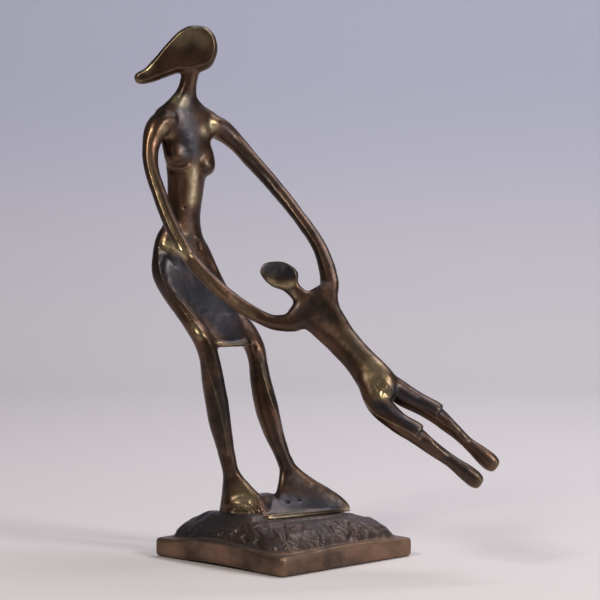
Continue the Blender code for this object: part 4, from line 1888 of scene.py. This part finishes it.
    def lay_apron(self, clay: Clay) -> tuple[np.ndarray, np.ndarray]:
        """Raises the skin of metal that laps up over the near foot's edge.

        Args:
            clay: the base.

        Returns:
            Each point's share of the skin, and the height that it may reach.
        """
        apron = np.zeros(len(clay.points))
        reached, share = clay.near(clay.trace(self.apron), self.apron_width)
        apron[reached] = share
        clay.points[:, 2] += apron * self.apron_rise
        softened = clay.smooth(self.apron_smoothing, clay.points)
        clay.points += (softened - clay.points) * ramp(apron, 0.1, 0.6)[:, None]
        return apron, -self.seat_gap + self.apron_rise * ramp(apron, 0.25, 0.95)

    def build(self) -> bpy.types.Object:
        """Makes the finished piece.

        Returns:
            The object, in place in the part's frame.
        """
        metal = self.finish.material()
        made = self.mould()
        clay = Clay(made, self.sight)
        self.scatter_crumbs(clay, metal)
        merge(made, self.cell, 2)
        clay.read()
        plain = 1.0 - ramp(self.own_frame(clay.points)[:, 2], *self.slab_top)
        clay.points += (clay.smooth(self.slab_smoothing, clay.points) - clay.points) * plain[:, None]
        clay.write()
        self.spread(clay)
        self.lumps.bake(made, metal)
        self.creases.bake(made, metal)
        clay.read()
        for stroke in self.strokes:
            clay.press(stroke)
        clay.points = clay.smooth(2, clay.points)
        apron, ceiling = self.lay_apron(clay)
        clay.points[:, 2] = np.clip(clay.points[:, 2], -SOLE_LEVEL / UNIT, ceiling)
        clay.write()
        clay.set_values("relief", np.full(len(clay.points), 1.0))
        clay.set_values("flow", clay.points)
        self.film.bake(made, metal)
        clay.read()
        clay.points[:, 2] = np.clip(clay.points[:, 2], -SOLE_LEVEL / UNIT, ceiling)
        clay.measure_wear()
        own = self.own_frame(clay.points)
        # The mound takes the darker blue-grey tone, fuller towards +y in the part's frame.
        mound = ramp(own[:, 2], *self.mound_foot)
        across = ramp(own[:, 1] + own[:, 0] * 0.2, *self.steel_tone_across)
        cool = mound * (self.steel_tone_least + (1.0 - self.steel_tone_least) * across)
        # The base has no painted highlights.
        clay.set_values("rub", np.zeros(len(clay.points)))
        # Painted shade: the apron below the near foot takes the full blue-grey.
        clay.set_values("cool", np.maximum(cool, apron))
        clay.finish()
        return made


@dataclass(frozen=True)
class PaperFinish:
    """Matt pale paper of the floor and backdrop, with painted light: paler and warmer low down, darker and
    bluer up the wall, and painted shade of a darker room on the wall at its sides and towards the camera.
    """

    name: str = "studio_paper"
    # Painted light: the paper is paler and warmer on the floor, darker and bluer towards the top.
    low: Triple = (0.65, 0.61, 0.63)
    high: Triple = (0.47, 0.475, 0.575)
    # Painted shade of a darker room, on the wall at the sides and towards the camera.
    painted_room_shade: Triple = (0.27, 0.26, 0.27)
    upward: Triple = (0.0, 0.0, 1.0)
    rightward: Triple = (0.7071, -0.7071, 0.0)
    nearer: Triple = (-0.7071, -0.7071, 0.0)
    side_range: tuple[float, float] = (0.8, 1.5)
    near_range: tuple[float, float] = (0.6, 1.6)
    floor_range: tuple[float, float] = (0.0, 0.3)
    height_range: tuple[float, float] = (0.0, 0.6)

    def along(self, nodes: Shading, axis: Triple) -> Socket:
        """Finds how far along an axis the paper is.

        Args:
            nodes: the material's nodes.
            axis: the axis.

        Returns:
            The distance, either way.
        """
        product = nodes.add("ShaderNodeVectorMath", {0: nodes.where, 1: axis}, operation="DOT_PRODUCT")
        return product.outputs["Value"]

    def material(self) -> bpy.types.Material:
        """Makes the material.

        Returns:
            The material.
        """
        nodes = Shading(self.name, {"Roughness": 0.95, "Specular IOR Level": 0.15})
        level, aside, near = (self.along(nodes, axis) for axis in (self.upward, self.rightward, self.nearer))
        # Where the room's shade is painted: the wall at the sides and towards the camera, above the floor.
        right = nodes.spread(aside, *self.side_range)
        left = nodes.spread(aside, *(-end for end in self.side_range))
        out = nodes.sum_of("MAXIMUM", right, left)
        out = nodes.sum_of("MAXIMUM", out, nodes.spread(near, *self.near_range))
        out = nodes.times(out, nodes.spread(level, *self.floor_range))
        # Painted light: paler low down, darker and bluer higher up.
        colour = nodes.mix(nodes.spread(level, *self.height_range), self.low, self.high)
        return nodes.close(Base_Color=nodes.mix(out, colour, self.painted_room_shade))


@dataclass(frozen=True)
class Softbox:
    """Square studio light in drawing directions, in metres, that shines at a point."""

    name: str
    spot: Triple
    aim: Triple
    size: float
    watts: float
    colour: Triple


@dataclass
class Studio:
    """Camera, soft lights and a pale floor that curves up all round."""

    sight: Sight
    paper: PaperFinish = field(default_factory=PaperFinish)
    flat_radius: float = 1.55
    curve: float = 1.1
    wall: float = 2.6
    flat_rings: int = 4
    curve_steps: int = 24
    segments: int = 128
    sensor: float = 36.0
    clip: tuple[float, float] = (0.05, 20.0)
    air: Triple = (0.80, 0.82, 0.90)
    air_strength: float = 0.16
    boxes: tuple[Softbox, ...] = (
        Softbox("left", (-0.90, -1.10, 1.35), (0.0, 0.0, 0.18), 0.42, 15.0, (1.0, 0.94, 0.82)),
        Softbox("right", (1.05, -0.75, 0.80), (0.0, 0.0, 0.18), 0.32, 10.0, (1.0, 0.95, 0.86)),
        Softbox("window", (1.40, -0.40, 0.36), (0.0, 0.0, 0.15), 0.6, 3.0, (0.80, 0.87, 1.0)),
        Softbox("top", (0.80, 0.35, 1.7), (0.0, 0.3, 0.0), 1.0, 14.0, (0.95, 0.95, 1.0)),
        Softbox("backdrop", (0.35, 1.1, 2.1), (0.35, 2.6, 0.4), 1.0, 21.0, (0.95, 0.96, 1.0)),
    )

    def turned(self, point: Triple) -> Vector:
        """Returns a point given in drawing directions, in the part's frame."""
        return Matrix.Rotation(math.radians(GROUP_TURN), 3, "Z") @ Vector(point)

    def set_camera(self) -> None:
        """Puts the camera where the picture was taken from."""
        lens = bpy.data.cameras.new("camera")
        lens.sensor_width = self.sensor
        lens.lens = self.sight.focal * lens.sensor_width / PICTURE_SIDE
        lens.clip_start, lens.clip_end = self.clip
        made = bpy.data.objects.new("camera", lens)
        made.location = DRAWN_TO_PART @ Vector(self.sight.eye)
        made.rotation_euler = (math.pi / 2 - self.sight.tilt, 0.0, math.radians(GROUP_TURN))
        bpy.context.scene.collection.objects.link(made)
        bpy.context.scene.camera = made
        bpy.context.scene.view_settings.view_transform = "Standard"

    def build_floor(self) -> bpy.types.Object:
        """Makes the floor, which curves up into a wall.

        Returns:
            The floor.
        """
        profile = [(self.flat_radius * step / self.flat_rings, 0.0) for step in range(1, self.flat_rings)]
        for step in range(self.curve_steps + 1):
            angle = math.pi / 2 * step / self.curve_steps
            rise = self.curve * (1 - math.cos(angle))
            profile.append((self.flat_radius + self.curve * math.sin(angle), rise))
        profile.append((self.flat_radius + self.curve, self.wall))
        drawn = bmesh.new()
        middle = drawn.verts.new((0.0, 0.0, 0.0))
        rings = []
        for radius, level in profile:
            ring = []
            for number in range(self.segments):
                angle = math.tau * number / self.segments
                ring.append(drawn.verts.new((radius * math.cos(angle), radius * math.sin(angle), level)))
            rings.append(ring)
        for index in range(self.segments):
            after = (index + 1) % self.segments
            drawn.faces.new((middle, rings[0][index], rings[0][after]))
            for lower, upper in zip(rings, rings[1:]):
                drawn.faces.new((lower[index], upper[index], upper[after], lower[after]))
        made = place("studio_floor", drawn)
        made.data.materials.append(self.paper.material())
        made.data.shade_smooth()
        return made

    def light(self) -> None:
        """Hangs the soft lights."""
        for box in self.boxes:
            lamp = bpy.data.lights.new(box.name, "AREA")
            lamp.shape = "SQUARE"
            lamp.size = box.size
            lamp.energy = box.watts
            lamp.color = box.colour
            made = bpy.data.objects.new(box.name, lamp)
            made.location = self.turned(box.spot)
            made.rotation_euler = (self.turned(box.aim) - made.location).to_track_quat("-Z", "Y").to_euler()
            bpy.context.scene.collection.objects.link(made)
        world = bpy.data.worlds.new("studio_air")
        world.use_nodes = True
        background = world.node_tree.nodes["Background"]
        background.inputs["Color"].default_value = (*self.air, 1.0)
        background.inputs["Strength"].default_value = self.air_strength
        bpy.context.scene.world = world


def show(piece: bpy.types.Object, node: str) -> None:
    """Makes a piece stand for a node of the part.

    Args:
        piece: the finished piece.
        node: the node of the part that the piece stands for, which is hidden.
    """
    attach(piece, "root")
    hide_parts(node)
    LOG.info("%s: %d faces, stands for %s", piece.name, len(piece.data.polygons), node)


def main() -> None:
    """Builds the studio, the figures and the base."""
    logging.basicConfig(level=logging.INFO, format="%(name)s: %(message)s")
    sight = Sight()
    studio = Studio(sight)
    studio.set_camera()
    studio.build_floor()
    studio.light()
    show(Figures(BronzeFinish("figure_bronze"), sight).build(), "figures")
    base_finish = BronzeFinish(
        "base_bronze",
        deep=(0.075, 0.047, 0.034),
        brown=(0.235, 0.137, 0.084),
        russet=(0.215, 0.108, 0.062),
        steel_tone_and_reflection=(0.042, 0.037, 0.043),
        sheen=(0.32, 0.52),
        worn_edge=0.16,
        pitting=0.00010,
        coat=0.2,
    )
    show(Base(base_finish, sight).build(), "base")


if __name__ == "__main__":
    main()
